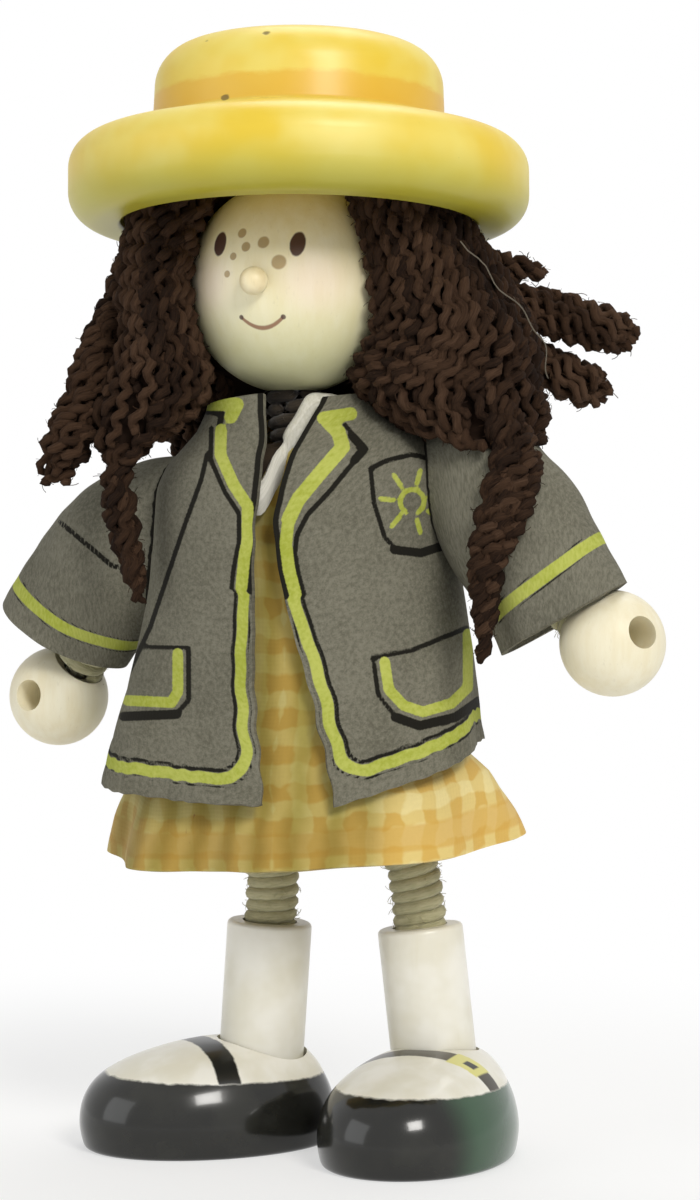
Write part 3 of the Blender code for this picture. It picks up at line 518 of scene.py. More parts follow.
hat = {
    "seat": 5.5, "shift": 0.5, "tilt": -6.2, "roll": -2.1,
    "rimRadius": 21.4, "rimHeight": 7.4, "rimFillet": 2.9,
    "crownFoot": 9.4, "crownRadius": 13.6, "crownTaper": 0.3, "height": 16.8, "crownFillet": 3.8,
    "recess": 4.8, "recessRadius": 16.5, "recessFillet": 0.4, "stepFillet": 0.5,
    "sides": 160, "arcSteps": 12, "topRings": (0.3, 0.6, 0.85),
    "yellow": (0.78, 0.56, 0.045), "lemon": (0.82, 0.68, 0.16), "olive": (0.36, 0.34, 0.03),
    "amber": (0.74, 0.42, 0.03), "bandTop": 11.9,
    "chips": [(-4.5, -12.2, 15.6), (1.7, -12.6, 15.6), (5.8, -11.8, 15.5), (-1.9, -13.6, 9.7)],
    "chipBrown": (0.16, 0.12, 0.04),
}
hatFrame = headFrame @ framed(hat["shift"], 0, hat["seat"], hat["tilt"], hat["roll"])


def hatPaint():
    paint = Paint("yellowGlossPaint", 0.4, Coat_Weight=0.12, Coat_Roughness=0.25, Specular_IOR_Level=0.4)
    local = paint.within(hatFrame)
    x, y, z = paint.inMm(local)
    radius = (x * x + y * y).root()
    clouds = paint.noise(90, 3, 0.55)
    streaks = paint.noise(420, 3, 0.6, paint.moved(scale=(1, 1, 3), place=local))
    colour = paint.mix(clouds.rise(0.35, 0.65), hat["yellow"], hat["lemon"])
    # Painted shade: the underside and lower part of the brim are mixed toward olive
    under = 1 - z.rise(0.5, 5.5)
    colour = paint.mix(under * 0.8, colour, hat["olive"])
    # Paint pooled round the foot of the crown shows as a deeper band
    edge = z + (streaks - 0.5) * 1.1
    band = (1 - edge.rise(hat["bandTop"] - 0.35, hat["bandTop"] + 0.35)) * z.rise(9.3, 9.7)
    band = band * (1 - radius.rise(hat["crownRadius"] + 0.3, hat["crownRadius"] + 1.0))
    colour = paint.mix(band * 0.72, colour, hat["amber"])
    away = [((x - cx) ** 2 + (y - cy) ** 2 + ((z - cz) * 1.3) ** 2).root() + (streaks - 0.5) * 0.7
            for cx, cy, cz in hat["chips"]]
    chips = reduce(Signal.most, [1 - chip.rise(0.32, 0.52) for chip in away])
    colour = paint.mix(chips * 0.85, colour, hat["chipBrown"])
    specks = paint.noise(1400, 2, 0.6).rise(0.76, 0.82)
    colour = paint.mix(specks * 0.35, colour, hat["olive"])
    rough = 0.34 + clouds * 0.16 + chips * 0.3
    height = clouds * 0.8 + streaks * 0.25 - chips * 0.8
    return paint.feed(colour, rough, height, 0.35, 0.12 * mm)


def buildHat():
    recess, fillet = hat["recessRadius"], hat["recessFillet"]
    outline = [Vector((0, hat["recess"])), Vector((recess - fillet, hat["recess"]))]
    corners = [(recess, hat["recess"], 0), (recess, 0, fillet),
               (hat["rimRadius"], 0, hat["rimFillet"]), (hat["rimRadius"], hat["rimHeight"], hat["rimFillet"]),
               (hat["crownRadius"], hat["crownFoot"], hat["stepFillet"]),
               (hat["crownRadius"] - hat["crownTaper"], hat["height"], hat["crownFillet"]), (0, hat["height"], 0)]
    outline += roundCorners(corners, hat["arcSteps"])
    edge, top = outline[-2:]
    outline = outline[:-1] + [edge.lerp(top, share) for share in hat["topRings"]] + [top]

    def turnedByHand(turn, z):
        # The shape is never quite round
        return 0.0025 * sin(2 * turn + 0.6) + 0.0012 * sin(5 * turn + z * 0.3)

    shape = lathe("brimmedHat", outline, hat["sides"], hatPaint(), turnedByHand)
    placeAt(shape, hatFrame)
    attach(sharpen(shape, 50), "head")
    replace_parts(shape, "hat")


buildHat()
print("hat made")


# Bead hands

hand = {
    "radius": 4.8, "armLength": 24.5, "hole": 1.5, "seatDepth": 1.4, "boreDepth": 2.4, "toolReach": 6.0,
    "sides": 72, "rings": 48, "ease": 0.16, "easeAngle": 50,
    "holeAim": {"right": (-0.367, -0.926, 0.07), "left": (0.693, -0.672, 0.26)},
}


def aimed(direction, place):
    along = Vector(direction).normalized()
    turn = Euler((atan2(along.y, -along.z), asin(-along.x), 0), "YXZ")
    return Matrix.Translation(place) @ turn.to_matrix().to_4x4()


def buildHand(side):
    centre = shoulderPlace[side] + armDown[side] * (hand["armLength"] * mm)
    armMatrix = Matrix.Translation(centre) @ armTurn[side].to_matrix().to_4x4()
    outline = ballOutline(hand["radius"], hand["rings"])
    bead = placeAt(lathe(side + "BeadHand", outline, hand["sides"], woodMaterial), armMatrix)
    top, reach = hand["radius"], hand["toolReach"]
    hole = cutter("holeTool", hand["hole"], -reach, reach, aimed(hand["holeAim"][side], centre))
    seat = cutter("seatTool", drilled["seatRadius"], top - hand["seatDepth"], reach, armMatrix)
    bore = cutter("boreTool", drilled["boreRadius"], top - hand["boreDepth"], reach, armMatrix)
    drill(bead, hole, seat, bore)
    ease = bead.modifiers.new("ease", "BEVEL")
    ease.width = hand["ease"] * mm
    ease.segments = 2
    ease.limit_method = "ANGLE"
    ease.angle_limit = radians(hand["easeAngle"])
    sharpen(settle(bead), 40)
    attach(bead, side + "_forearm")
    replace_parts(bead, side + "_hand")


for side in sign:
    buildHand(side)
print("hands made")


# Shins and shoes

shin = {
    "radius": 4.0, "length": 13.6, "aboveShin": 4.5, "seatDepth": 2.0, "boreDepth": 5.0, "edge": 0.45, "topRing": 2.0,
    "sides": 72, "arcSteps": 6, "uneven": 0.004, "white": (0.76, 0.73, 0.61), "lightWhite": (0.86, 0.84, 0.76),
    "drip": (0.66, 0.61, 0.42),
}
shoe = {
    "length": 24.6, "width": 17.0, "height": 10.0, "heel": 7.7, "toeShare": 0.10, "sides": 96,
    "rows": [(0.00, 0.93, 0.92, 0.00), (0.05, 0.97, 0.97, 0.00), (0.26, 1.00, 1.00, 0.00),
             (0.48, 0.965, 0.96, 0.00), (0.66, 0.88, 0.87, 0.01), (0.80, 0.745, 0.74, 0.04),
             (0.91, 0.56, 0.57, 0.08), (0.98, 0.34, 0.36, 0.10), (1.00, 0.16, 0.18, 0.11)],
    "capRings": (0.72, 0.4), "room": 0.3,
    "black": (0.012, 0.012, 0.010), "greyBlack": (0.03, 0.03, 0.024), "green": (0.045, 0.10, 0.055),
    "greenShare": {"right": 0.25, "left": 0.9}, "strapBrown": (0.045, 0.035, 0.02), "yellow": (0.72, 0.68, 0.22),
    "paintLine": 6.7, "strapAt": -5.4, "strapSlant": 0.16, "strapWidth": 2.2, "buckleAt": 4.6, "buckleHalf": 1.45,
    "eyeAt": 4.9, "eyeHalf": 0.52,
}


def shinMatrix(side):
    lean = radians(doll["shinLean"][side])
    return aimed(-Vector((sin(lean), 0, cos(lean))), kneePlace[side])


def whitePaint():
    paint = Paint("whiteSatinPaint", 0.32, Coat_Weight=0.15, Coat_Roughness=0.2)
    clouds = paint.noise(160, 3, 0.55)
    drips = paint.noise(700, 3, 0.6, paint.moved(scale=(1, 1, 0.1)))
    colour = paint.mix(clouds.rise(0.35, 0.68), shin["white"], shin["lightWhite"])
    colour = paint.mix(drips.rise(0.60, 0.80) * 0.25, colour, shin["drip"])
    return paint.feed(colour, 0.26 + drips * 0.16, drips * 0.6 + clouds * 0.4, 0.25, 0.06 * mm)


def shoePaint(side):
    paint = Paint(side + "ShoePaint", 0.14, Coat_Weight=0.3, Coat_Roughness=0.06, Specular_IOR_Level=0.35)
    x, y, z = paint.inMm(paint.within(footFrame[side]))
    clouds = paint.noise(220, 3, 0.55)
    brush = (paint.noise(900, 3, 0.6) - 0.5) * 0.35
    # The black is dipped up to a line that drops a little at the side of the foot
    line = z + brush + y * 0.03
    upper = line.rise(shoe["paintLine"] - 0.12, shoe["paintLine"] + 0.12)
    black = paint.mix(clouds.rise(0.4, 0.7) * 0.5, shoe["black"], shoe["greyBlack"])
    outer = (x * sign[side] + brush * 2).rise(4.4, 6.2) * y.rise(-13.0, -9.0)
    black = paint.mix(outer * shoe["greenShare"][side], black, shoe["green"])
    white = paint.mix(clouds.rise(0.35, 0.68), shin["white"], shin["lightWhite"])
    colour = paint.mix(upper, black, white)
    slant = y - shoe["strapAt"] - x * shoe["strapSlant"] + brush
    strap = 1 - slant.size().rise(shoe["strapWidth"] / 2 - 0.12, shoe["strapWidth"] / 2 + 0.12)
    colour = paint.mix(strap * upper, colour, shoe["strapBrown"] if side == "left" else shoe["black"])
    if side == "left":
        across, along = (x - shoe["buckleAt"]).size(), slant.size()
        half, eyeHalf = shoe["buckleHalf"], shoe["eyeHalf"]
        plate = 1 - across.most(along * 1.05).rise(half - 0.1, half + 0.1)
        eye = 1 - (x - shoe["eyeAt"]).size().most(along).rise(eyeHalf - 0.1, eyeHalf + 0.1)
        colour = paint.mix(plate * upper, colour, shoe["yellow"])
        colour = paint.mix(eye * upper, colour, shoe["black"])
    rough = 0.13 + clouds * 0.10 + upper * 0.12
    ridge = upper * 0.5 + strap * upper * 0.4 + clouds * 0.35
    return paint.feed(colour, rough, ridge, 0.3, 0.08 * mm)


whiteMaterial = whitePaint()


def buildShin(side):
    matrix = shinMatrix(side)
    top = -shin["aboveShin"]
    seatFoot = top - shin["seatDepth"]
    corners = [(0, top - shin["length"], 0), (shin["radius"], top - shin["length"], shin["edge"]),
               (shin["radius"], top, shin["edge"]), (0, top, 0)]
    outline = roundCorners(corners, shin["arcSteps"])
    outline[-1:] = [Vector((shin["topRing"], top)), Vector((0, top))]
    rod = lathe(side + "WhiteShin", outline, shin["sides"], whiteMaterial,
                lambda turn, z: shin["uneven"] * sin(3 * turn + z * 0.2))
    placeAt(rod, matrix)
    seat = cutter("seatTool", drilled["seatRadius"], seatFoot, top + drilled["beyond"], matrix)
    bore = cutter("boreTool", drilled["boreRadius"], seatFoot - shin["boreDepth"], top, matrix)
    sharpen(drill(rod, seat, bore))
    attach(rod, side + "_lower_leg")
    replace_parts(rod, side + "_shin")


def buildShoe(side):
    rows = smoothPath(shoe["rows"], 5)
    sides = shoe["sides"]
    points = []
    middle = shoe["length"] / 2 - shoe["heel"]
    for height, length, width, shift in rows:
        for i in range(sides):
            turn = 2 * pi * i / sides
            along = -cos(turn)
            across = sin(turn) * width * (1 - shoe["toeShare"] * along) * shoe["width"] / 2
            points.append((across, -middle + (along * length / 2 + shift) * shoe["length"],
                           min(height, 1.0) * shoe["height"]))
    faces = gridFaces(len(rows), sides, loop=True)
    # Sole and top are closed with two rings and a hub
    for row in (0, len(rows) - 1):
        ring = np.array(points[row * sides:(row + 1) * sides])
        hub = ring.mean(0)
        last = row * sides + np.arange(sides)
        for share in shoe["capRings"]:
            start = len(points)
            points.extend(hub + (ring - hub) * share)
            fresh = start + np.arange(sides)
            faces += [(last[i], last[(i + 1) % sides], fresh[(i + 1) % sides], fresh[i]) for i in range(sides)]
            last = fresh
        points.append(hub)
        faces += [(last[i], last[(i + 1) % sides], len(points) - 1) for i in range(sides)]
    body = makePiece(side + "PaintedShoe", np.array(points) * mm, faces, shoePaint(side))
    placeAt(faceOut(body), footFrame[side])
    top = -shin["aboveShin"]
    socket = cutter("socketTool", shin["radius"] + shoe["room"], top - shin["length"] - shoe["room"], top,
                    shinMatrix(side), shin["sides"])
    sharpen(drill(body, socket), 40)
    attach(body, side + "_lower_leg")
    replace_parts(body, side + "_shoe")


for side in sign:
    buildShin(side)
    buildShoe(side)
print("shins and shoes made")


# Cloth: woven shells made from grids of points in mm

def gridWays(grid):
    # Outward directions of a grid of points
    ways = np.cross(np.gradient(grid, axis=1), np.gradient(grid, axis=0))
    if np.allclose(grid[:, 0], grid[:, -1]):
        ways[:, 0] = ways[:, -1] = ways[:, 0] + ways[:, -1]
    if (ways * (grid - grid.mean(axis=1, keepdims=True))).sum() < 0:
        ways = -ways
    return ways / np.maximum(np.linalg.norm(ways, axis=-1, keepdims=True), 1e-9)


def gridLengths(grid):
    # Arc length from the first column and from the first row
    across = np.cumsum(np.linalg.norm(np.diff(grid, axis=1), axis=-1), axis=1)
    along = np.cumsum(np.linalg.norm(np.diff(grid, axis=0), axis=-1), axis=0)
    return np.pad(across, ((0, 0), (1, 0))), np.pad(along, ((1, 0), (0, 0)))


def travelled(paths):
    steps = np.linalg.norm(np.diff(paths, axis=1), axis=-1)
    return np.pad(np.cumsum(steps, axis=1), ((0, 0), (1, 0)))


def clothShell(name, grid, thickness, material, holes=None, values=None, matrix=None):
    # Both sides of a cloth and its cut edge, from a grid of its outer side in mm
    rows, columns = grid.shape[:2]
    closed = np.allclose(grid[:, 0], grid[:, -1])
    outer = grid.reshape(-1, 3)
    inner = outer - gridWays(grid).reshape(-1, 3) * thickness
    faces = gridFaces(rows, columns)
    if holes is not None:
        faces = [face for face in faces if not holes.ravel()[list(face)].any()]

    def key(i):
        return i - columns + 1 if closed and i % columns == columns - 1 else i

    edges = {}
    for face in faces:
        for a, b in zip(face, face[1:] + face[:1]):
            if (key(b), key(a)) in edges:
                del edges[(key(b), key(a))]
            else:
                edges[(key(a), key(b))] = (a, b)
    count = len(outer)
    both = faces + [tuple(i + count for i in reversed(face)) for face in faces]
    both += [(b, a, a + count, b + count) for a, b in edges.values()]
    u, v = gridLengths(grid)
    uv = np.stack([u.ravel(), v.ravel()], axis=1)
    far = {label: np.concatenate([numbers.ravel(), np.full(count, 9.0)]) for label, numbers in (values or {}).items()}
    piece = makePiece(name, np.vstack([outer, inner]) * mm, both, material, uv=np.vstack([uv, uv]), values=far)
    if matrix is not None:
        placeAt(piece, matrix)
    return sharpen(faceOut(piece), 60)


def declareCloth(grid):
    # Works out the grid's two diagonal steps and keeps nothing of them
    one = grid[1:, 1:] - grid[:-1, :-1]
    other = grid[1:, :-1] - grid[:-1, 1:]


def strokeAway(places, strokes):
    # Distance of each place to the edge of the nearest stroke, below zero inside it
    nearest = np.full(places.shape[:-1], 9.0)
    for half, *points in strokes:
        for a, b in zip(points, points[1:]):
            way = np.subtract(b, a)
            share = np.clip(((places - a) @ way) / (way @ way), 0, 1)
            away = np.linalg.norm(places - a - share[..., None] * way, axis=-1) - half
            nearest = np.minimum(nearest, away)
    return nearest


studio = {"floor": (0.93, 0.93, 0.92), "distance": 330, "height": 66, "aimUp": 51.5, "aimAcross": 4.1, "focal": 3531}


def viewPlane(places):
    # Where places in mm are seen on the upright plane that holds the doll's axis
    turn = radians(doll["cameraTurn"])
    x = places[..., 0] + doll["boxCentre"][0]
    y = places[..., 1] + doll["boxCentre"][1]
    grow = studio["distance"] / (studio["distance"] - x * sin(turn) + y * cos(turn))
    across = studio["aimAcross"] + (x * cos(turn) + y * sin(turn) - studio["aimAcross"]) * grow
    return np.stack([across, studio["height"] + (places[..., 2] - studio["height"]) * grow], axis=-1)


# Jacket

coat = {
    "hem": -0.1, "top": 34.3, "width": 18.3, "depth": 14.5, "sway": 3.3, "cloth": 0.7, "frontDip": 1.6,
    "sideRise": 1.2, "fold": 0.55, "folds": 6, "frontGap": 4.0, "gridStep": 0.34,
    "rows": [(0.00, 1.00, 1.00, 1.0, 1.0), (0.05, 0.98, 0.965, 0.9, 0.95), (0.12, 0.955, 0.93, 0.7, 0.85),
             (0.25, 0.905, 0.88, 0.4, 0.6), (0.45, 0.835, 0.85, 0.1, 0.3), (0.62, 0.79, 0.83, 0.0, 0.1),
             (0.72, 0.77, 0.81, 0.0, 0.0), (0.80, 0.738, 0.78, 0.0, 0.0), (0.86, 0.672, 0.74, 0.0, 0.0),
             (0.905, 0.58, 0.67, 0.0, 0.0), (0.94, 0.505, 0.61, 0.0, 0.0), (1.00, 0.44, 0.53, 0.0, 0.0)],
    "edges": [(0.00, -0.70, 0.90), (0.25, -0.80, 0.52), (0.45, -0.67, 0.17), (0.60, -0.56, 0.02), (0.70, -0.445, 0.04),
              (0.80, -0.265, 0.30), (0.90, -0.16, 0.66), (1.00, -0.20, 1.11)],
    "grey": (0.105, 0.100, 0.072), "paleGrey": (0.20, 0.19, 0.145), "lime": (0.33, 0.37, 0.045),
    "paleLime": (0.46, 0.49, 0.11), "line": (0.008, 0.007, 0.004),
    "armhole": (24.0, 4.8), "trim": 0.55, "trimTop": 19.5, "lapelDarkEdge": 0.55,
    "collarRise": {"right": 0.9, "left": 0.0}, "cornerDip": {"right": 0.0, "left": 1.5},
}
# Printed strokes on the view plane: half width, then points across and up
limeStrokes = [
    (0.55, (-8.0, 67.4), (-8.1, 65.1), (-6.9, 62.3), (-5.6, 60.3), (-5.6, 57.1), (-5.9, 55.6), (-6.2, 52.6)),
    (0.62, (-9.2, 69.8), (-6.5, 69.8), (-7.1, 68.6)),
    (0.60, (1.5, 68.5), (4.1, 68.9)),
    (0.68, (1.9, 68.2), (2.9, 67.2), (3.3, 65.8), (1.1, 63.3), (-0.9, 60.9), (-1.8, 59.0)),
    (0.58, (-1.8, 59.0), (-2.05, 56.7), (-1.75, 54.3), (-1.15, 52.0)),
    (0.50, (7.2, 45.7), (7.6, 43.1), (9.0, 41.6), (10.8, 41.0), (13.5, 41.8), (15.1, 43.3), (15.1, 48.3)),
    (0.50, (-12.1, 46.5), (-12.1, 42.9), (-12.7, 41.9), (-16.7, 42.1)),
]
darkStrokes = [
    (0.22, (-8.9, 67.6), (-9.0, 64.6), (-7.7, 61.6), (-6.4, 59.6), (-6.4, 57.0), (-6.9, 54.5), (-7.1, 52.6)),
    (0.28, (-10.1, 69.2), (-7.9, 68.9), (-8.2, 67.6)),
    (0.22, (3.5, 67.9), (4.3, 66.9)), (0.42, (4.2, 66.8), (5.3, 65.6), (4.4, 64.6)),
    (0.24, (4.3, 64.4), (2.0, 61.6), (0.0, 59.5), (-1.0, 57.6), (-1.2, 56.0), (-0.9, 54.0), (-0.35, 52.0)),
    (0.24, (5.9, 63.8), (7.3, 64.5), (9.7, 65.1), (12.1, 64.6), (13.2, 63.5)),
    (0.22, (5.9, 63.8), (6.2, 60.6), (7.2, 57.4), (8.3, 56.2)),
    (0.42, (8.1, 56.2), (10.6, 55.9), (13.5, 56.8)),
    (0.48, (12.8, 63.7), (12.3, 62.4)), (0.24, (12.3, 62.4), (12.7, 60.4), (13.6, 58.1)),
    (0.24, (6.0, 46.1), (9.8, 46.8), (15.0, 48.9)),
    (0.22, (6.2, 45.5), (6.6, 42.6), (8.2, 40.6)), (0.45, (8.2, 40.5), (10.5, 39.7), (13.9, 40.5), (16.1, 42.0)),
    (0.22, (-15.3, 47.1), (-11.1, 47.0)), (0.24, (-11.1, 46.8), (-11.1, 42.1), (-12.2, 40.9)),
    (0.45, (-12.2, 40.8), (-17.1, 40.6)),
    (0.22, (-9.3, 65.2), (-9.9, 62.7), (-11.5, 58.3), (-14.6, 49.0), (-17.0, 43.8)),
]
badge = {
    "middle": (9.8, 60.7), "ring": 1.15, "petals": (1.75, 3.0), "half": 0.24,
    "turns": (20, 75, 125, 175, 230, 285, 330),
}
# A plain sun-like flower: a ring and short petals round it
x, z = badge["middle"]
ringTurns = [radians(turn) for turn in range(-60, 241, 30)]
limeStrokes.append((badge["half"], *[(x + badge["ring"] * cos(t), z + badge["ring"] * sin(t)) for t in ringTurns]))
for turn in np.radians(badge["turns"]):
    limeStrokes.append((badge["half"], *[(x + r * cos(turn), z + r * sin(turn)) for r in badge["petals"]]))


def woven(paint, places, fine=1.0):
    # Plain weave in mm of cloth, and a soft change of thread thickness
    u, v = places.part(0), places.part(1)
    threads = (u * (15.0 * fine)).wave() * 0.5 + (v * (15.0 * fine)).wave() * 0.5
    slubs = paint.noise(2.2, 3, 0.6, places)
    return threads, slubs


def coatPaint():
    paint = Paint("greyPrintedCotton", 0.94, Specular_IOR_Level=0.25)
    places = paint.attribute("cloth", 1)
    threads, slubs = woven(paint, places)
    speckle = paint.noise(6.5, 2, 0.7, places)
    wash = paint.noise(150, 3, 0.55)
    ragged = (paint.noise(5.0, 2, 0.6, places) - 0.5) * 0.16
    colour = paint.mix((slubs * 0.45 + speckle * 0.3 + wash * 0.25).rise(0.36, 0.64), coat["grey"], coat["paleGrey"])
    lime = 1 - (paint.attribute("limeAway") + ragged).rise(-0.06, 0.06)
    dark = 1 - (paint.attribute("darkAway") + ragged).rise(-0.06, 0.06)
    bright = paint.mix((slubs * 0.5 + wash * 0.5).rise(0.35, 0.65), coat["lime"], coat["paleLime"])
    colour = paint.mix(dark, colour, coat["line"])
    colour = paint.mix(lime, colour, bright)
    return paint.feed(colour, None, threads * 0.35 + slubs * 0.65, 0.35, 0.07 * mm)


coatMaterial = coatPaint()


def coatPoints(share, turn):
    # Places in the torso's frame; turn runs from the front past the doll's left side
    height, wide, deep, folds, sway = np.moveaxis(readRows(coat["rows"], share), -1, 0)
    swell = coat["fold"] * folds * np.cos(coat["folds"] * turn)
    sag = coat["sideRise"] * np.abs(np.sin(turn)) - coat["frontDip"] * np.maximum(0, np.cos(turn))
    z = coat["hem"] + (coat["top"] - coat["hem"]) * share + sag * np.maximum(0, 1 - share * 2)
    x = (wide * coat["width"] + swell) * np.sin(turn) - sway * coat["sway"]
    return np.stack([x, -(deep * coat["depth"] + swell) * np.cos(turn), z], axis=-1)


def coatRatio(places):
    # Below 1 inside the jacket; places in mm in the world
    local = inFrame(torsoFrame, places)
    share = np.clip((local[..., 2] - coat["hem"]) / (coat["top"] - coat["hem"]), 0, 1)
    height, wide, deep, folds, sway = np.moveaxis(readRows(coat["rows"], share), -1, 0)
    across = (local[..., 0] + sway * coat["sway"]) / (wide * coat["width"])
    ratio = np.hypot(across, local[..., 1] / (deep * coat["depth"]))
    return ratio + np.maximum(0, np.abs(local[..., 2] - coat["hem"] - share * (coat["top"] - coat["hem"]))) / 5


def coatPrint(world, ways, u, v):
    # Trims follow the cut edges; lapels, pockets and the badge are seen from the front
    corner = 2.6
    inset = 1.15 - 0.35 * np.clip((v - 14) / 5, 0, 1)
    front, hem = u - inset, v - 2.4
    rounded = corner - np.hypot(np.maximum(corner - front, 0), np.maximum(corner - hem, 0))
    inner = np.where((front < corner) & (hem < corner), rounded, np.minimum(front, hem))
    lime = np.where(v > coat["trimTop"], 9, np.abs(inner) - coat["trim"])
    dark = np.minimum(np.abs(inner - coat["trim"] - 0.24) - 0.2, np.abs(inner + coat["trim"] + 0.16) - 0.12)
    # Above the trims a dark band runs along the lapel's cut edge: partly printed edge, partly painted shade of the gap
    # at the neck
    dark = np.where(v > coat["trimTop"], u - coat["lapelDarkEdge"], dark)
    turn = radians(doll["cameraTurn"])
    facing = ways @ np.array([sin(turn), -cos(turn), 0])
    seen = viewPlane(world)
    lime = np.where(facing > 0.05, np.minimum(lime, strokeAway(seen, limeStrokes)), lime)
    dark = np.where(facing > 0.05, np.minimum(dark, strokeAway(seen, darkStrokes)), dark)
    return {"limeAway": lime, "darkAway": dark}


def buildCoat(side):
    rows = int((coat["top"] - coat["hem"]) / coat["gridStep"])
    columns = int(pi * coat["width"] * 0.95 / coat["gridStep"])
    share = np.linspace(0, 1, rows)
    wide = readRows(coat["rows"], share)[:, 1] * coat["width"]
    sway = readRows(coat["rows"], share)[:, 4] * coat["sway"]
    edge = readRows(coat["edges"], share)[:, 2 if side == "left" else 1] * coat["frontGap"]
    first = np.arcsin((edge + sway) / wide) + 0.008 * softNoise(7, share[:, None], 45)
    if side == "right":
        first = first + 2 * pi
    turn = first[:, None] + (pi - first[:, None]) * np.linspace(0, 1, columns)[None, :]
    grid = coatPoints(np.repeat(share[:, None], columns, axis=1), turn)
    # The collar stands up a little on one side, and the hem drops at the front corner on the other
    ahead = np.clip(1 - np.abs(turn - first[:, None]) / 1.3, 0, 1)
    grid[..., 2] += coat["collarRise"][side] * np.maximum(0, np.cos(turn)) * np.clip(share[:, None] * 10 - 9, 0, 1)
    grid[..., 2] -= coat["cornerDip"][side] * ahead ** 1.5 * np.clip(1 - share[:, None] * 3, 0, 1)
    ways = gridWays(grid)
    loose = np.clip((34 - grid[..., 2]) / 34, 0.15, 1)
    seam = np.clip(np.abs(turn - pi) * 4, 0, 1)
    crumple = softNoise(11 + sign[side], grid, 0.42) * 0.26 + softNoise(17 + sign[side], grid, 1.1) * 0.07
    grid = grid + ways * (crumple * loose * seam)[..., None]
    grid[0, :, 2] += 0.10 * softNoise(23, grid[0], 3.0)
    middle, radius = coat["armhole"]
    holes = (np.hypot(grid[..., 1] * 1.55, grid[..., 2] - middle) < radius) & (grid[..., 0] * sign[side] > 0)
    u, v = gridLengths(grid)
    world = toWorld(torsoFrame, grid)
    values = coatPrint(world, gridWays(world), u, v)
    half = clothShell(side + "CoatHalf", grid, coat["cloth"], coatMaterial, holes, values, torsoFrame)
    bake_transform(half)
    declareCloth(grid)
    return half


for side in sign:
    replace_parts(buildCoat(side), "jacket_body")
print("jacket made")


# Sleeves

sleeve = {
    "reach": 14.9, "drop": 12.3, "radius": 7.3, "cloth": 0.6, "flat": 0.82, "rootFlat": 0.18, "rootShift": 0.7,
    "columns": 96, "rows": 64,
    "rowsTable": [(-0.06, 0.10, 0.82, 0.10), (0.20, 0.12, 0.88, 0.22), (0.42, 0.22, 0.95, 0.36),
                  (0.64, 0.46, 0.98, 0.50), (0.84, 0.74, 0.99, 0.62), (1.00, 1.00, 1.00, 0.68)],
    "bulge": {"right": -0.5, "left": 1.9}, "bandFromCuff": {"right": 2.9, "left": 3.8},
    "bandSlant": {"right": 0.0, "left": 0.9}, "band": 0.6, "cuffTurn": {"right": 0.0, "left": 0.26},
    "shoulderSpan": (-2.0, 3.0), "raiseSpan": (3.0, 8.0), "elbowSpan": (8.0, 13.0),
}
# Dark line on the doll's right sleeve, in view plane places
sleeveStrokes = [(0.24, (-22.9, 58.8), (-18.1, 54.7), (-14.9, 54.0))]


def sliced(piece, name, place, normal, keepAbove):
    # A copy of the piece on one side of a plane
    made = bmesh.new()
    made.from_mesh(piece.data)
    bmesh.ops.bisect_plane(made, geom=made.verts[:] + made.edges[:] + made.faces[:], plane_co=place, plane_no=normal,
                           clear_inner=keepAbove, clear_outer=not keepAbove)
    mesh = bpy.data.meshes.new(name)
    made.to_mesh(mesh)
    made.free()
    for material in piece.data.materials:
        mesh.materials.append(material)
    part = bpy.data.objects.new(name, mesh)
    bpy.context.scene.collection.objects.link(part)
    return part


def splitAlong(piece, names, place, way, cuts):
    # Parts of the piece between planes square to a direction, in order along it
    parts = []
    rest = piece
    for name, distance in zip(names, cuts + [None]):
        if distance is None:
            rest.name = rest.data.name = name
            parts.append(rest)
            break
        plane = place + way * (distance * mm)
        parts.append(sliced(rest, name, plane, way, False))
        further = sliced(rest, name + "Rest", plane, way, True)
        bpy.data.objects.remove(rest, do_unlink=True)
        rest = further
    return parts


def sleeveGrid(side):
    down = np.array(armDown[side])
    heading = np.array([down[0], down[1], 0]) / np.hypot(down[0], down[1])
    level = np.array([-heading[1], heading[0], 0])
    shoulder = np.array(shoulderPlace[side]) / mm
    table = smoothPath(sleeve["rowsTable"], 24)
    around = np.linspace(0, 2 * pi, sleeve["columns"] + 1)
    sag = table[:, 1] * sleeve["drop"] - sleeve["bulge"][side] * np.sin(pi * np.maximum(0, table[:, 0]))
    centre = shoulder + table[:, :1] * sleeve["reach"] * heading - sag[:, None] * np.array([0, 0, 1])
    tilt = table[:, 3] * pi / 2
    upright = heading * np.sin(tilt)[:, None] + np.array([0, 0, 1]) * np.cos(tilt)[:, None]
    radius = table[:, 2] * sleeve["radius"]
    flat = sleeve["flat"] - sleeve["rootFlat"] * np.clip(1 - table[:, 0] / 0.6, 0, 1)
    centre = centre + level * sign[side] * (sleeve["rootShift"] * np.clip(1 - table[:, :1] / 0.6, 0, 1))
    dense = (centre[:, None] + upright[:, None] * (radius[:, None] * np.cos(around))[..., None]
             + level * ((radius * flat)[:, None] * np.sin(around))[..., None])
    dense = dense - heading * (sleeve["cuffTurn"][side] * radius * np.clip(table[:, 0], 0, 1) ** 2)[:, None, None] \
        * np.sin(around)[:, None]
    inside = coatRatio(dense) < 1.01
    grid = np.zeros((sleeve["rows"], len(around), 3))
    for column in range(len(around)):
        within = np.nonzero(inside[:, column])[0]
        start = within.max() if len(within) else 0
        at = np.linspace(start, len(dense) - 1, sleeve["rows"])
        low = np.minimum(at.astype(int), len(dense) - 2)
        part = (at - low)[:, None]
        grid[:, column] = dense[low, column] * (1 - part) + dense[low + 1, column] * part
    return grid


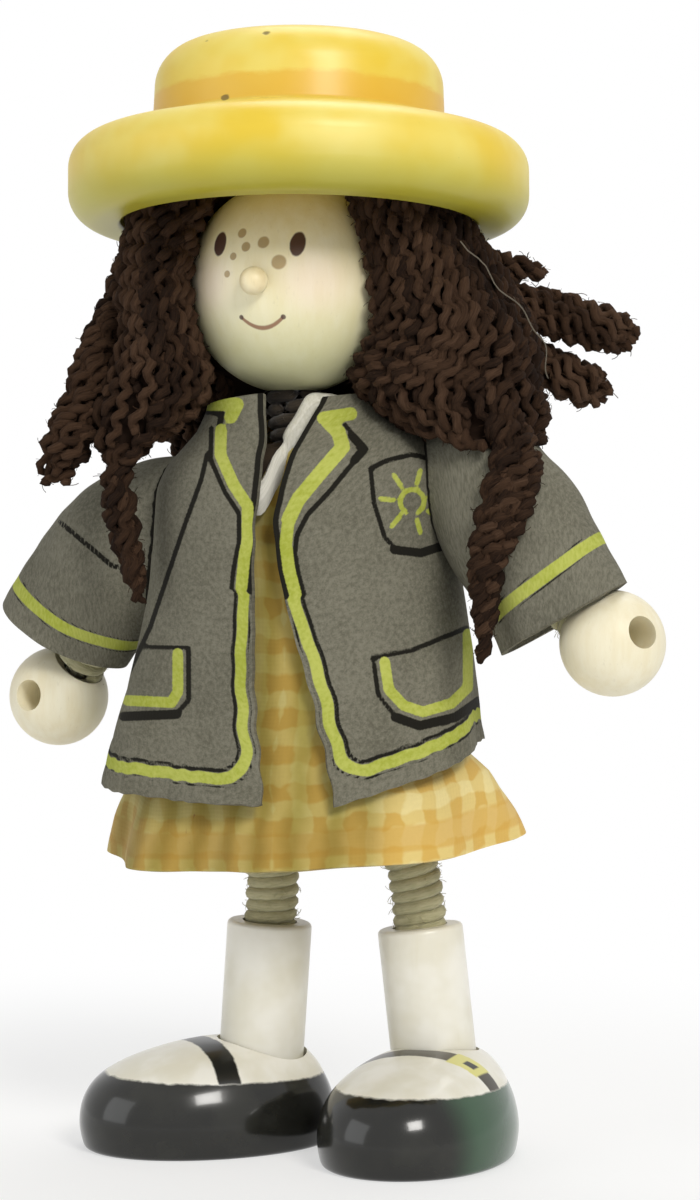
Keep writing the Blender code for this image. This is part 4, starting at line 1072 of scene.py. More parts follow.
def buildSleeve(side):
    grid = sleeveGrid(side)
    ways = gridWays(grid)
    share = np.linspace(0, 1, len(grid))[:, None]
    crumple = softNoise(31 + sign[side], grid, 0.55) * 0.28 + softNoise(37, grid, 1.3) * 0.08
    crumple *= np.clip(share * 4, 0, 1)
    crumple[:, -1] = crumple[:, 0]
    grid = grid + ways * crumple[..., None]
    v = gridLengths(grid)[1]
    cuff = v[-1] - v
    around = np.linspace(0, 2 * pi, grid.shape[1])
    away = np.abs(cuff - sleeve["bandFromCuff"][side] - sleeve["bandSlant"][side] * np.cos(around))
    dark = np.minimum(np.abs(away - sleeve["band"] - 0.14) - 0.08, v - 0.30)
    if side == "right":
        facing = ways @ np.array([0, -1, 0]) > 0
        dark = np.where(facing, np.minimum(dark, strokeAway(viewPlane(grid), sleeveStrokes)), dark)
    values = {"limeAway": away - sleeve["band"], "darkAway": dark}
    whole = clothShell(side + "Sleeve", grid, sleeve["cloth"], coatMaterial, None, values)
    place = shoulderPlace[side]
    way = armDown[side]
    names = [side + part for part in ("SleeveRoot", "SleeveUpper", "SleeveLower")]
    spans = [sleeve["shoulderSpan"], sleeve["raiseSpan"], sleeve["elbowSpan"]]
    bodies = ["torso", side + "_shoulder", side + "_upper_arm", side + "_forearm"]
    parts = splitAlong(whole, names, place, way, [sleeve["raiseSpan"][0], sleeve["elbowSpan"][0]])
    for part, (low, high), one, other in zip(parts, spans, bodies, bodies[1:]):
        place + way * (low * mm)
        place + way * (high * mm)
        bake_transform(part)
        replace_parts(part, side + "_sleeve")
    declareCloth(grid)


for side in sign:
    buildSleeve(side)
print("sleeves made")


# Dress and its binding

dress = {
    "hem": -6.3, "hemDip": 1.3, "sideSag": 1.5, "chest": 28.5, "width": 19.4, "depth": 15.4, "sway": 2.2, "cloth": 0.5,
    "fold": 0.75, "folds": 8, "chestDip": 5.9, "yoke": (9.0, 30.2),
    "rows": [(0.00, 1.00, 1.00, 1.0, 1.0), (0.09, 0.95, 0.89, 0.7, 1.05), (0.16, 0.88, 0.80, 0.5, 1.1),
             (0.21, 0.79, 0.78, 0.4, 1.15), (0.42, 0.61, 0.72, 0.1, 0.4), (0.60, 0.56, 0.695, 0.0, 0.1),
             (0.80, 0.525, 0.655, 0.0, 0.0), (1.00, 0.472, 0.595, 0.0, 0.0)],
    "neck": [(-180, 4.9, 33.0), (-90, 5.2, 32.5), (-60, 6.2, 31.6), (-40, 7.6, 30.2), (-20, 9.2, 27.8), (-9, 9.5, 26.4),
             (-2, 8.8, 28.6), (10, 6.8, 31.1), (33, 4.8, 33.5), (60, 4.7, 33.6), (90, 4.9, 33.3), (180, 4.9, 33.0)],
    "rowsUp": 76, "columns": 200, "check": 3.4,
    "cream": (0.76, 0.63, 0.28), "yellow": (0.68, 0.48, 0.12), "orange": (0.62, 0.35, 0.05),
    "thread": (0.20, 0.08, 0.02), "shade": (0.40, 0.40, 0.17),
    "bindingWidth": 2.1, "bindingCloth": 0.5, "bindingOver": 1.1, "gap": 0.3,
    "white": (0.66, 0.64, 0.55), "paleWhite": (0.78, 0.76, 0.69),
}


def dressPoints(share, turn):
    height, wide, deep, folds, sway = np.moveaxis(readRows(dress["rows"], share), -1, 0)
    swell = dress["fold"] * folds * np.cos(dress["folds"] * turn)
    front = np.cos(turn)
    sag = dress["hemDip"] * front + dress["sideSag"] * np.maximum(0, np.sin(turn))
    z = dress["hem"] + (dress["chest"] - dress["hem"]) * share - sag * (1 - share)
    z -= dress["chestDip"] * np.clip((share - 0.8) / 0.2, 0, 1) * np.maximum(0, front) ** 2
    x = (wide * dress["width"] + swell) * np.sin(turn) - sway * dress["sway"]
    return np.stack([x, -(deep * dress["depth"] + swell) * np.cos(turn), z], axis=-1)


def yokePoints(turn, share):
    # Cloth over the shoulders, from the chest at 0 up to the neck's edge at 1
    away, radius, height = np.moveaxis(readRows(dress["neck"], np.degrees((turn + pi) % (2 * pi) - pi)), -1, 0)
    out = np.stack([np.sin(turn), -np.cos(turn)], axis=-1)
    edge = np.concatenate([out * radius[..., None], height[..., None]], axis=-1)
    bend = np.concatenate([out * dress["yoke"][0], np.minimum(height, dress["yoke"][1])[..., None]], axis=-1)
    chest = dressPoints(np.ones(turn.shape), turn)
    share = np.asarray(share)[..., None]
    return chest * (1 - share) ** 2 + bend * 2 * share * (1 - share) + edge * share ** 2


def ginghamPaint():
    paint = Paint("ginghamCotton", 0.9, Sheen_Weight=0.1, Sheen_Roughness=0.6)
    places = paint.attribute("cloth", 1)
    threads, slubs = woven(paint, places, 1.1)
    wash = paint.noise(140, 3, 0.55)
    drift = (paint.noise(0.35, 2, 0.5, places) - 0.5) * 2.2
    bands = []
    for index in (0, 1):
        wave = ((places.part(index) + drift) * (2 * pi / dress["check"])).wave()
        bands.append(wave.rise(-0.25, 0.35))
    up = places.part(1)
    hemBand = up.rise(0.9, 1.3) * (1 - up.rise(3.4, 3.9))
    paleCream = tuple(c * 1.06 for c in dress["cream"])
    colour = paint.mix((slubs * 0.5 + wash * 0.5).rise(0.35, 0.65), dress["cream"], paleCream)
    colour = paint.mix(bands[0] * 0.55, colour, dress["yellow"])
    colour = paint.mix(bands[1] * 0.55, colour, dress["yellow"])
    colour = paint.mix(bands[0] * bands[1] * 0.6, colour, dress["orange"])
    colour = paint.mix(hemBand * 0.62, colour, dress["orange"])
    # The front is shaded by the jacket up to the bright fold on the doll's left
    x, y = [paint.place.part(i) / mm for i in (0, 1)]
    streaks = (x * 1.9 + (wash - 0.5) * 6).wave() * 0.16
    shade = (1 - x.rise(5.5, 10.5)) * (1 - y.rise(-4, 4)) * (0.78 + streaks)
    colour = paint.mix(shade, colour, dress["shade"], "MULTIPLY")
    thread = 1 - paint.attribute("threadAway").rise(-0.05, 0.05)
    colour = paint.mix(thread * 0.9, colour, dress["thread"])
    return paint.feed(colour, None, threads * 0.4 + slubs * 0.6, 0.3, 0.06 * mm)


def bindingPaint():
    paint = Paint("whiteBindingCotton", 0.88, Sheen_Weight=0.1)
    places = paint.attribute("cloth", 1)
    threads, slubs = woven(paint, places, 1.3)
    colour = paint.mix(slubs.rise(0.35, 0.65), dress["white"], dress["paleWhite"])
    # Painted shade: outside a light middle strip the band is darker towards both edges
    edge = (places.part(1) - 1.0).size().rise(0.55, 0.75)
    colour = paint.mix(edge * 0.35, colour, tuple(c * 0.55 for c in dress["white"]))
    return paint.feed(colour, None, threads * 0.4 + slubs * 0.6, 0.35, 0.06 * mm)


ginghamMaterial = ginghamPaint()
hemThread = [(0.13, (-10.2, 31.7), (-11.0, 30.7), (-11.3, 29.6), (-11.1, 28.4))]


def buildDress(side):
    columns = dress["columns"] // 2
    turn = np.linspace(0, sign[side] * pi, columns)
    share = np.linspace(0, 1, dress["rowsUp"])
    grid = dressPoints(np.repeat(share[:, None], columns, axis=1), np.repeat(turn[None, :], len(share), axis=0))
    grid = np.vstack([grid] + [yokePoints(turn, np.full(columns, step))[None] for step in np.linspace(0, 1, 17)[1:]])
    ways = gridWays(grid)
    fixed = np.clip(np.minimum(turn * sign[side], pi - turn * sign[side]) * 5, 0, 1)
    loose = np.clip((26 - grid[..., 2]) / 30, 0, 1)
    crumple = softNoise(41, grid, 0.5) * 0.24 + softNoise(43, grid, 1.2) * 0.08
    grid = grid + ways * (crumple * loose * fixed)[..., None]
    holes = (np.hypot(grid[..., 1], grid[..., 2] - 25.5) < 3.4) & (np.abs(grid[..., 0]) > 5)
    thread = strokeAway(viewPlane(toWorld(torsoFrame, grid)), hemThread) + np.where(grid[..., 1] < 0, 0, 9)
    half = clothShell(side + "DressHalf", grid, dress["cloth"], ginghamMaterial, holes, {"threadAway": thread},
                      torsoFrame)
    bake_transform(half)
    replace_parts(half, "dress")
    return half, grid


def buildBinding():
    # A folded band that lies on the cloth along the neck's edge
    turn = np.linspace(0, 2 * pi, 241)
    lines = np.stack([yokePoints(turn, np.full(len(turn), step)) for step in np.linspace(1, 0, 40)], axis=1)
    span = np.linspace(0, dress["bindingWidth"] + dress["bindingOver"], 9)
    along = travelled(lines)
    grid = np.stack([[np.interp(span, away, line[:, axis]) for away, line in zip(along, lines)] for axis in range(3)],
                    axis=-1).transpose(1, 0, 2)
    grid = grid + (grid[:1] - grid[1:2]) * (dress["bindingOver"] / span[1])
    ways = gridWays(grid)
    middle = (span / span[-1] * 2 - 1)[:, None, None]
    grid = grid + ways * ((dress["gap"] + dress["bindingCloth"]) * (1 - 0.4 * middle ** 2))
    band = clothShell("neckBinding", grid, dress["bindingCloth"], bindingPaint(), None, None, torsoFrame)
    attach(band, "torso")
    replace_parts(band, "neckline_binding")
    return band


neckBinding = buildBinding()
for side in sign:
    half, grid = buildDress(side)
    declareCloth(grid)
print("dress made")


# Twisted yarns and cords

def carried(path):
    # Two vectors square to a path, carried along it without twist
    ways = np.gradient(path[None], axis=1)
    ways /= np.maximum(np.linalg.norm(ways, axis=-1, keepdims=True), 1e-9)
    side = np.cross(ways[:, 0], (0.31, 0.52, 0.80))
    sides = []
    for index in range(len(path)):
        side = side - ways[:, index] * (side * ways[:, index]).sum(-1, keepdims=True)
        side = side / np.linalg.norm(side, axis=-1, keepdims=True)
        sides.append(side)
    sides = np.stack(sides, axis=1)
    return sides[0], np.cross(ways, sides)[0]


def evened(path, length, step):
    # Points at even steps along the first part of a path
    along = travelled(path[None])[0]
    count = max(6, int(length / step))
    at = np.linspace(0, min(length, along[-1]), count)
    return np.stack([np.interp(at, along, path[:, axis]) for axis in range(3)], axis=1)


def twistedYarn(path, radius, plies, pitch, depth, sides, tone):
    # One yarn with round ends: points, faces, cloth places and tone
    one, other = carried(path)
    along = travelled(path[None])[0]
    ends = np.minimum(along, along[-1] - along) / np.max(radius)
    size = radius * np.sqrt(1 - np.clip(1 - ends, 0, 1) ** 2)
    around = np.linspace(0, 2 * pi, sides + 1)
    twist = (around[None] - (along * 2 * pi / pitch)[:, None]) * plies / 2
    swell = size[:, None] * (1 - depth + depth * np.abs(np.cos(twist)))
    rings = (one[:, None] * np.cos(around)[None, :, None] + other[:, None] * np.sin(around)[None, :, None])
    points = path[:, None] + rings * swell[..., None]
    u = np.broadcast_to(around[None] * np.max(radius), swell.shape)
    v = np.broadcast_to(along[:, None], swell.shape)
    faces = np.array(gridFaces(len(path), sides + 1))
    tones = np.broadcast_to(np.reshape(tone, (-1, 1)), swell.shape)
    return points.reshape(-1, 3), faces, np.stack([u.ravel(), v.ravel()], axis=1), tones.ravel()


def makeYarns(name, yarns, material):
    # All yarns of one piece in a single mesh
    count = 0
    faces = []
    for points, quads, uv, tone in yarns:
        faces.append(quads + count)
        count += len(points)
    uv = np.vstack([yarn[2] for yarn in yarns])
    tones = np.concatenate([yarn[3] for yarn in yarns])
    piece = makePiece(name, np.vstack([yarn[0] for yarn in yarns]) * mm, np.vstack(faces).tolist(), material,
                      uv=uv, values={"tone": tones})
    return faceOut(piece)


class Nodes(Board):
    # A Geometry Nodes tree with named inputs
    def __init__(self, name, **kinds):
        tree = bpy.data.node_groups.new(name, "GeometryNodeTree")
        super().__init__(tree)
        tree.interface.new_socket("Geometry", in_out="INPUT", socket_type="NodeSocketGeometry")
        tree.interface.new_socket("Geometry", in_out="OUTPUT", socket_type="NodeSocketGeometry")
        self.keys = {key: tree.interface.new_socket(key, in_out="INPUT", socket_type="NodeSocket" + kind).identifier
                     for key, kind in kinds.items()}
        self.entry = tree.nodes.new("NodeGroupInput")
        self.exit = tree.nodes.new("NodeGroupOutput")

    def given(self, name):
        return Signal(self, self.entry.outputs[name])

    def put(self, signal):
        self.tree.links.new(signal.socket, self.exit.inputs[0])
        return self

    def joined(self, *signals):
        node = self.tree.nodes.new("GeometryNodeJoinGeometry")
        for signal in signals:
            self.tree.links.new(signal.socket, node.inputs[0])
        return Signal(self, node.outputs[0])

    def run(self, piece, **values):
        grown = piece.modifiers.new(self.tree.name, "NODES")
        grown.node_group = self.tree
        for key, value in values.items():
            grown[self.keys[key]] = value
        piece.update_tag()
        return settle(piece)


def fuzzTree():
    # Loose fibres that leave the surface at a slant and bend over
    board = Nodes("looseFibres", Density="Float", Length="Float", Thickness="Float", Lift="Float", Seed="Int",
                  Material="Material")
    whole = board.given("Geometry")
    scatter = board.add("GeometryNodeDistributePointsOnFaces", {0: whole, 4: board.given("Density"),
                                                                6: board.given("Seed")})
    turned = Signal(board, scatter.socket.node.outputs["Rotation"])
    length, lift = board.given("Length"), board.given("Lift")
    middle = board.add("ShaderNodeCombineXYZ", {0: length * 0.5, 2: length * lift})
    end = board.add("ShaderNodeCombineXYZ", {0: length, 1: length * 0.25, 2: length * lift * 0.8})
    line = board.add("GeometryNodeCurveQuadraticBezier", {0: 2, 1: (0, 0, 0), 2: middle, 3: end})
    shape = board.add("GeometryNodeCurvePrimitiveCircle", {0: 3, 4: board.given("Thickness")})
    fibre = board.add("GeometryNodeCurveToMesh", {0: line, 1: shape})
    spin = board.add("FunctionNodeRandomValue", {2: 0.0, 3: 2 * pi, 8: board.given("Seed")}, output=1)
    around = board.add("ShaderNodeCombineXYZ", {2: spin})
    turned = board.add("FunctionNodeRotateRotation", {0: turned, 1: around}, rotation_space="LOCAL")
    scale = board.add("FunctionNodeRandomValue", {2: 0.5, 3: 1.5, 8: 7}, output=1)
    spread = board.add("GeometryNodeInstanceOnPoints", {0: scatter, 2: fibre, 5: turned, 6: scale})
    real = board.add("GeometryNodeRealizeInstances", {0: spread})
    real = board.add("GeometryNodeSetMaterial", {0: real, 2: board.given("Material")})
    return board.put(board.joined(whole, real))


looseFibres = fuzzTree()


# Wound cord on neck, arms and legs

winding = {
    "turnRadius": 1.88, "cord": 0.66, "pitch": 1.12, "perTurn": 18, "sides": 10,
    "seatInTorso": 4.2, "seatInShin": 6.2, "neckFoot": 28.8, "neckTip": 3.0, "shoulderSeat": 8.34,
    "upperArm": 10.3, "armEnd": 20.5,
    "olive": (0.33, 0.31, 0.17), "straw": (0.54, 0.51, 0.32), "shade": (0.012, 0.008, 0.005),
    "umber": (0.07, 0.05, 0.03),
}


def cordPaint(name, dark, pale):
    paint = Paint(name, 0.9, Sheen_Weight=0.25, Sheen_Roughness=0.5)
    places = paint.attribute("cloth", 1)
    strands = paint.noise(5.0, 3, 0.6, paint.moved(turn=(0, 0, radians(24)), scale=(1.0, 0.22, 1), place=places))
    wash = paint.noise(260, 3, 0.55)
    tone = strands * 0.45 + wash * 0.35 + paint.attribute("tone") * 0.2
    colour = paint.mix(tone.rise(0.36, 0.66), dark, pale)
    return paint.feed(colour, None, strands, 0.5, 0.08 * mm)


cordMaterial = cordPaint("woundCord", winding["olive"], winding["straw"])
# Painted shade: the neck's cord is given near-black colours for the shade under the chin
neckShadeMaterial = cordPaint("darkWoundCord", winding["shade"], winding["umber"])


def windCord(names, node, route, place, way, cuts, bodies, spans, material=cordMaterial):
    # A helix of cord round a centre line, in one piece per joint that it crosses
    path = smoothPath(route, 40)
    along = travelled(path[None])[0]
    at = np.linspace(0, along[-1], int(along[-1] / winding["pitch"] * winding["perTurn"]))
    centre = np.stack([np.interp(at, along, path[:, axis]) for axis in range(3)], axis=1)
    one, other = carried(centre)
    turn = at * 2 * pi / winding["pitch"] + 0.12 * np.sin(at * 0.9)
    radius = winding["turnRadius"] + 0.07 * softNoise(51, at[:, None], 1.7)
    helix = centre + (one * np.cos(turn)[:, None] + other * np.sin(turn)[:, None]) * radius[:, None]
    reach = (centre - np.array(place) / mm) @ np.array(way)
    starts = [0] + [int(np.argmax(reach > cut)) for cut in cuts] + [len(helix) - 1]
    for name, first, last, (low, high), one, other in zip(names, starts, starts[1:], spans, bodies, bodies[1:]):
        yarn = twistedYarn(helix[first:last + 1], winding["cord"], 2, 2.6, 0.10, winding["sides"], 0.5)
        piece = makeYarns(name, [yarn], material)
        looseFibres.run(piece, Density=1.1e6, Length=0.6 * mm, Thickness=0.022 * mm, Lift=0.35, Seed=3,
                        Material=material)
        Vector(place) + way * (low * mm)
        Vector(place) + way * (high * mm)
        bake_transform(piece)
        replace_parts(piece, node)


def windLimbs(side):
    hip, knee, shoulder = [np.array(p[side]) / mm for p in (hipPlace, kneePlace, shoulderPlace)]
    shinWay = (kneePlace[side] - (shinMatrix(side) @ Vector((0, 0, -mm)))).normalized()
    top = torsoFrame @ Vector((sign[side] * doll["hipSpacing"] * mm, 0, winding["seatInTorso"] * mm))
    foot = knee - np.array(shinWay) * winding["seatInShin"]
    down = (kneePlace[side] - hipPlace[side]).normalized()
    length = (kneePlace[side] - hipPlace[side]).length / mm
    names = [side + part for part in ("HipWinding", "ThighWinding", "KneeWinding")]
    bodies = ["torso", side + "_hip", side + "_thigh", side + "_lower_leg"]
    windCord(names, side + "_leg_winding", [np.array(top) / mm, hip, knee, foot], hipPlace[side], down,
             [2.0, length - 2.5], bodies, [(-2.0, 2.0), (2.0, 6.0), (length - 2.5, length + 2.5)])
    seat = torsoFrame @ Vector((sign[side] * winding["shoulderSeat"] * mm, 0, doll["shoulderHeight"] * mm))
    down = np.array(armDown[side])
    root = np.array(seat) / mm
    inward = (root - shoulder) / np.linalg.norm(root - shoulder)
    route = [root, shoulder + inward, shoulder + (inward + down) / 4, shoulder + down,
             shoulder + down * winding["upperArm"], shoulder + down * winding["armEnd"]]
    names = [side + part for part in ("ShoulderWinding", "UpperArmWinding", "ForearmWinding")]
    bodies = ["torso", side + "_shoulder", side + "_upper_arm", side + "_forearm"]
    spans = [sleeve["shoulderSpan"], sleeve["raiseSpan"], sleeve["elbowSpan"]]
    windCord(names, side + "_arm_winding", route, shoulderPlace[side], armDown[side], [spans[1][0], spans[2][0]],
             bodies, spans)


for side in sign:
    windLimbs(side)
neckFoot = np.array(torsoFrame @ Vector((0, 0, winding["neckFoot"] * mm))) / mm
neckMiddle = np.array(neckPlace) / mm
windCord(["neckLowWinding", "neckWinding", "neckTopWinding"], "neck_winding",
         [neckFoot, neckMiddle, neckMiddle + np.array([0, 0, winding["neckTip"]])], neckPlace, Vector((0, 0, 1)),
         [0.0, 1.3], ["torso", "neck_bend", "neck_cord", "head"], [(-1.5, 0.0), (0.0, 1.3), (1.3, 2.6)], neckShadeMaterial)
print("windings made")


# Hair of thick yarn

hair = {
    "headRadius": 10.0, "yarn": 0.52, "step": 0.33, "sides": 8, "pitch": 2.1, "plies": 2, "depth": 0.34,
    "crimp": 2.3, "crimpReach": 0.34,
    "scalp": 10.9, "coreInset": 1.5, "roomUnderHat": 15.5, "hatDrop": -1.0, "hatFlare": 5.0, "recessTop": 3.8,
    "dark": (0.010, 0.0050, 0.0030), "brown": (0.043, 0.0225, 0.0125), "pale": (0.095, 0.055, 0.034),
    "thread": (0.15, 0.13, 0.10), "furrow": 1.7, "furrowTurn": (5, 52), "furrowHalf": 22,
}
# Across, towards the viewer, up, half width and half depth in shares of the head's radius
hairMasses = {
    "hair_back": [(0, -0.5, 0.88, 1.08, 0.76), (0, -0.55, 0, 1.35, 0.88), (0.05, -0.65, -0.6, 1.45, 0.84),
                  (0.1, -0.9, -1.2, 1.40, 0.66), (0.1, -1.35, -1.8, 1.15, 0.44), (0, -1.52, -2.3, 0.75, 0.30),
                  (-0.1, -1.54, -2.65, 0.30, 0.14)],
    "hair_left": [(0.98, 0.28, 0.88, 0.56, 0.72), (1.26, 0.32, 0, 0.78, 0.84), (1.43, 0.36, -0.45, 0.89, 0.80),
                  (1.42, 0.44, -0.9, 0.92, 0.72), (1.62, 0.60, -1.22, 0.72, 0.56), (1.78, 0.76, -1.5, 0.45, 0.38),
                  (1.86, 0.84, -1.78, 0.22, 0.22)],
    "hair_right": [(-1.10, 0.08, 0.88, 0.42, 0.54), (-1.24, 0.14, 0, 0.42, 0.62), (-1.22, 0.18, -0.45, 0.40, 0.60),
                   (-1.24, 0.26, -0.86, 0.50, 0.54), (-1.36, 0.36, -1.16, 0.48, 0.44), (-1.54, 0.50, -1.46, 0.28, 0.26),
                   (-1.64, 0.56, -1.7, 0.12, 0.12)],
}
# Across, towards the viewer, up and radius in shares of the head's radius
hairLocks = {
    "hair_right_outer_lock": [(-1.44, -0.05, 0.46, 0.15), (-1.65, 0, -0.16, 0.17), (-1.84, 0.1, -0.63, 0.19),
                              (-1.95, 0.25, -1.1, 0.23), (-2.10, 0.40, -1.5, 0.24), (-2.34, 0.48, -1.92, 0.14)],
    "hair_left_tuft_upper": [(1.75, -0.55, 0.13, 0.17), (2.06, -0.58, 0.22, 0.17), (2.43, -0.62, 0.21, 0.13)],
    "hair_left_tuft_middle": [(1.94, -0.30, -0.16, 0.22), (2.37, -0.42, -0.22, 0.235), (2.89, -0.45, -0.36, 0.235),
                              (3.34, -0.50, -0.46, 0.18)],
    "hair_left_tuft_lower": [(1.94, -0.50, -0.66, 0.23), (2.33, -0.58, -0.71, 0.22), (2.71, -0.60, -0.88, 0.23),
                             (3.06, -0.62, -0.99, 0.18)],
    "hair_left_strand": [(1.72, 0.86, -0.98, 0.16), (1.99, 1.12, -1.48, 0.22), (1.92, 1.34, -2.05, 0.24),
                         (1.75, 1.46, -2.56, 0.19), (1.71, 1.46, -3.10, 0.11), (1.72, 1.40, -3.56, 0.065)],
    "hair_right_strand": [(-1.52, 0.45, -1.30, 0.12), (-1.62, 0.55, -1.73, 0.15), (-1.58, 0.52, -2.16, 0.17),
                          (-1.48, 0.60, -2.59, 0.12), (-1.38, 0.66, -2.96, 0.07)],
}
hairFrame = headLevel @ framed(0, 0, 0, 0, 0, doll["cameraTurn"])
sleeveLines = {side: sleeveGrid(side)[:, :-1].mean(axis=1) for side in sign}


def yarnPaint():
    paint = Paint("darkYarn", 0.95, Specular_IOR_Level=0.12)
    places = paint.attribute("cloth", 1)
    fibres = paint.noise(4.5, 4, 0.65, paint.moved(turn=(0, 0, radians(20)), scale=(1.6, 0.18, 1), place=places))
    clumps = paint.noise(300, 3, 0.6)
    tone = fibres * 0.5 + clumps * 0.25 + paint.attribute("tone") * 0.25
    colour = paint.mix(tone.rise(0.30, 0.62), hair["dark"], hair["brown"])
    colour = paint.mix((fibres * 0.7 + paint.attribute("tone") * 0.3).rise(0.55, 0.80) * 0.6, colour, hair["pale"])
    colour = paint.mix(paint.attribute("tone") > 1.5, colour, hair["thread"])
    return paint.feed(colour, None, fibres, 0.6, 0.10 * mm)


yarnMaterial = yarnPaint()


def clearOf(places, room):
    # Places in mm pushed out of the head, jacket and sleeves, and kept under the hat
    centre = np.array(headPlace) / mm
    away = places - centre
    far = np.linalg.norm(away, axis=-1, keepdims=True)
    places = centre + away * np.maximum(1, (hair["scalp"] - hair["yarn"] + room) / np.maximum(far, 1e-6))
    local = inFrame(hatFrame, places)
    limit = hair["roomUnderHat"] + np.maximum(0, hair["hatDrop"] - local[..., 2]) * hair["hatFlare"]
    local[..., :2] *= np.minimum(1, limit / np.maximum(np.hypot(local[..., 0], local[..., 1]), 1e-6))[..., None]
    local[..., 2] = np.minimum(local[..., 2], hair["recessTop"])
    places = toWorld(hatFrame, local)
    reach = sleeve["radius"] * 0.92 + room
    for _ in range(2):
        local = inFrame(torsoFrame, places)
        grow = np.maximum(1, (1.0 + room / 15.0) / np.maximum(coatRatio(places), 0.3))
        local[..., :2] *= grow[..., None]
        places = toWorld(torsoFrame, local)
        for line in sleeveLines.values():
            away = places[..., None, :] - line
            nearest = np.linalg.norm(away, axis=-1).argmin(-1)
            away = places - line[nearest]
            far = np.linalg.norm(away, axis=-1, keepdims=True)
            places = np.where(far < reach, line[nearest] + away / far * reach, places)
    return places


def toHairWorld(across, towards, up):
    return toWorld(hairFrame, np.stack([across, -towards, up], axis=-1))


def clearArcs(table, inset):
    # Outward angle of each ring of a mass, and how far it stays clear of the scalp to either hand
    spread = np.linspace(0, pi, 91)
    arcs = []
    for across, towards, up, wide, deep in table:
        outward = atan2(towards / deep, across / wide)
        edge = sqrt(max(0, hair["scalp"] ** 2 - up ** 2))
        arc = [outward]
        for way in (1, -1):
            turn = outward + way * spread
            far = np.hypot(across + (wide - inset) * np.cos(turn), towards + (deep - inset) * np.sin(turn))
            inside = np.nonzero(far < edge)[0]
            arc.append(spread[inside[0]] if len(inside) else pi)
        arcs.append(arc)
    arcs = np.array(arcs)
    for column in (1, 2):
        padded = np.pad(arcs[:, column], 5, mode="edge")
        arcs[:, column] = np.convolve(padded, np.ones(11) / 11, "valid")
    return arcs


def crimped(path, rng):
    # Small uneven waves, as in yarn that was knitted before
    one, other = carried(path)
    along = travelled(path[None])[0]
    turn = along * 2 * pi / (hair["crimp"] * rng.uniform(0.8, 1.25)) + rng.uniform(0, 2 * pi)
    turn = turn + 0.7 * softNoise(int(rng.integers(9999)), along[:, None], 0.8)
    return path + (one * np.cos(turn)[:, None] + other * np.sin(turn)[:, None]) * hair["crimpReach"]


def furrowAt(table, turn):
    # The deep gap between the two parts of the left mass, 0 outside it and 1 at its bottom
    middle = np.interp(table[:, 2], (-8, 5), np.radians(hair["furrowTurn"]))
    window = np.clip((table[:, 2] + 11) / 4, 0, 1) * np.clip((9 - table[:, 2]) / 3, 0, 1)
    return window * np.exp(-((turn - middle) / radians(hair["furrowHalf"])) ** 2)


def massYarns(rows, count, inset, rng, deepened=False):
    table = smoothPath(np.array(rows) * hair["headRadius"], 12)
    arcs = clearArcs(table, inset)
    yarns = []
    for share in np.linspace(-1, 1, count, endpoint=False) + 0.5 / count:
        reach = np.where(share > 0, arcs[:, 1], arcs[:, 2])
        drift = 0.05 * softNoise(int(rng.integers(9999)), np.arange(len(table))[:, None], 0.16)
        turn = arcs[:, 0] + reach * share + drift
        furrow = furrowAt(table, turn) if deepened else np.zeros(len(table))
        wide, deep = [table[:, column] - inset - furrow * hair["furrow"] for column in (3, 4)]
        path = toHairWorld(table[:, 0] + wide * np.cos(turn), table[:, 1] + deep * np.sin(turn), table[:, 2])
        path = clearOf(path, hair["yarn"] + hair["crimpReach"] / 2)
        path = np.stack([np.convolve(np.pad(path[:, axis], 2, mode="edge"), np.ones(5) / 5, "valid")
                         for axis in range(3)], axis=1)
        along = travelled(path[None])[0]
        length = along[-1] * (1 - 0.34 * rng.random() ** 1.6)
        path = evened(path, length, hair["step"])
        # Painted shade: yarns in the furrow get a darker tone
        tone = rng.random() - 1.1 * np.interp(travelled(path[None])[0], along, furrow)
        path = crimped(path, rng)
        radius = hair["yarn"] * (1 + 0.16 * softNoise(int(rng.integers(9999)), path, 1.6))
        yarns.append(twistedYarn(path, radius, hair["plies"], hair["pitch"] * rng.uniform(0.85, 1.2), hair["depth"],
                                 hair["sides"], tone))
    return yarns


def looseThread(rows):
    # One thin pale thread that hangs over the gap
    table = smoothPath(np.array(rows) * hair["headRadius"], 12)
    table = table[(table[:, 2] > -9) & (table[:, 2] < 4)]
    turn = np.interp(table[:, 2], (-9, 4), np.radians((14, 58)))
    wide, deep = table[:, 3] + 0.3, table[:, 4] + 0.3
    path = toHairWorld(table[:, 0] + wide * np.cos(turn), table[:, 1] + deep * np.sin(turn), table[:, 2])
    path = evened(path + 0.15 * np.sin(path[:, 2:] * 1.7), 99, hair["step"])
    return twistedYarn(path, 0.07 * np.ones(len(path)), 2, 0.8, 0.2, 6, 2.0)


def massCore(rows):
    # The dark inside of a mass, one closed skin
    table = smoothPath(np.array(rows) * hair["headRadius"], 8)
    arcs = clearArcs(table, hair["coreInset"])
    spread = np.linspace(-pi, pi, 41)
    around = arcs[:, :1] + np.clip(spread, -arcs[:, 2:], arcs[:, 1:2])
    wide = np.maximum(table[:, 3:4] - hair["coreInset"], 0.1)
    deep = np.maximum(table[:, 4:5] - hair["coreInset"], 0.1)
    grid = toHairWorld(table[:, :1] + wide * np.cos(around), table[:, 1:2] + deep * np.sin(around),
                       np.repeat(table[:, 2:3], len(spread), axis=1))
    grid = clearOf(grid, 0.1)
    grid[:, -1] = grid[:, 0]
    hubs = [np.repeat(grid[row:row + 1].mean(axis=1, keepdims=True), len(spread), axis=1) for row in (0, len(grid) - 1)]
    grid = np.vstack([hubs[0], grid, hubs[1]])
    faces = np.array(gridFaces(len(grid), len(spread)))
    count = grid.shape[0] * grid.shape[1]
    return grid.reshape(-1, 3), faces, np.zeros((count, 2)), np.zeros(count)


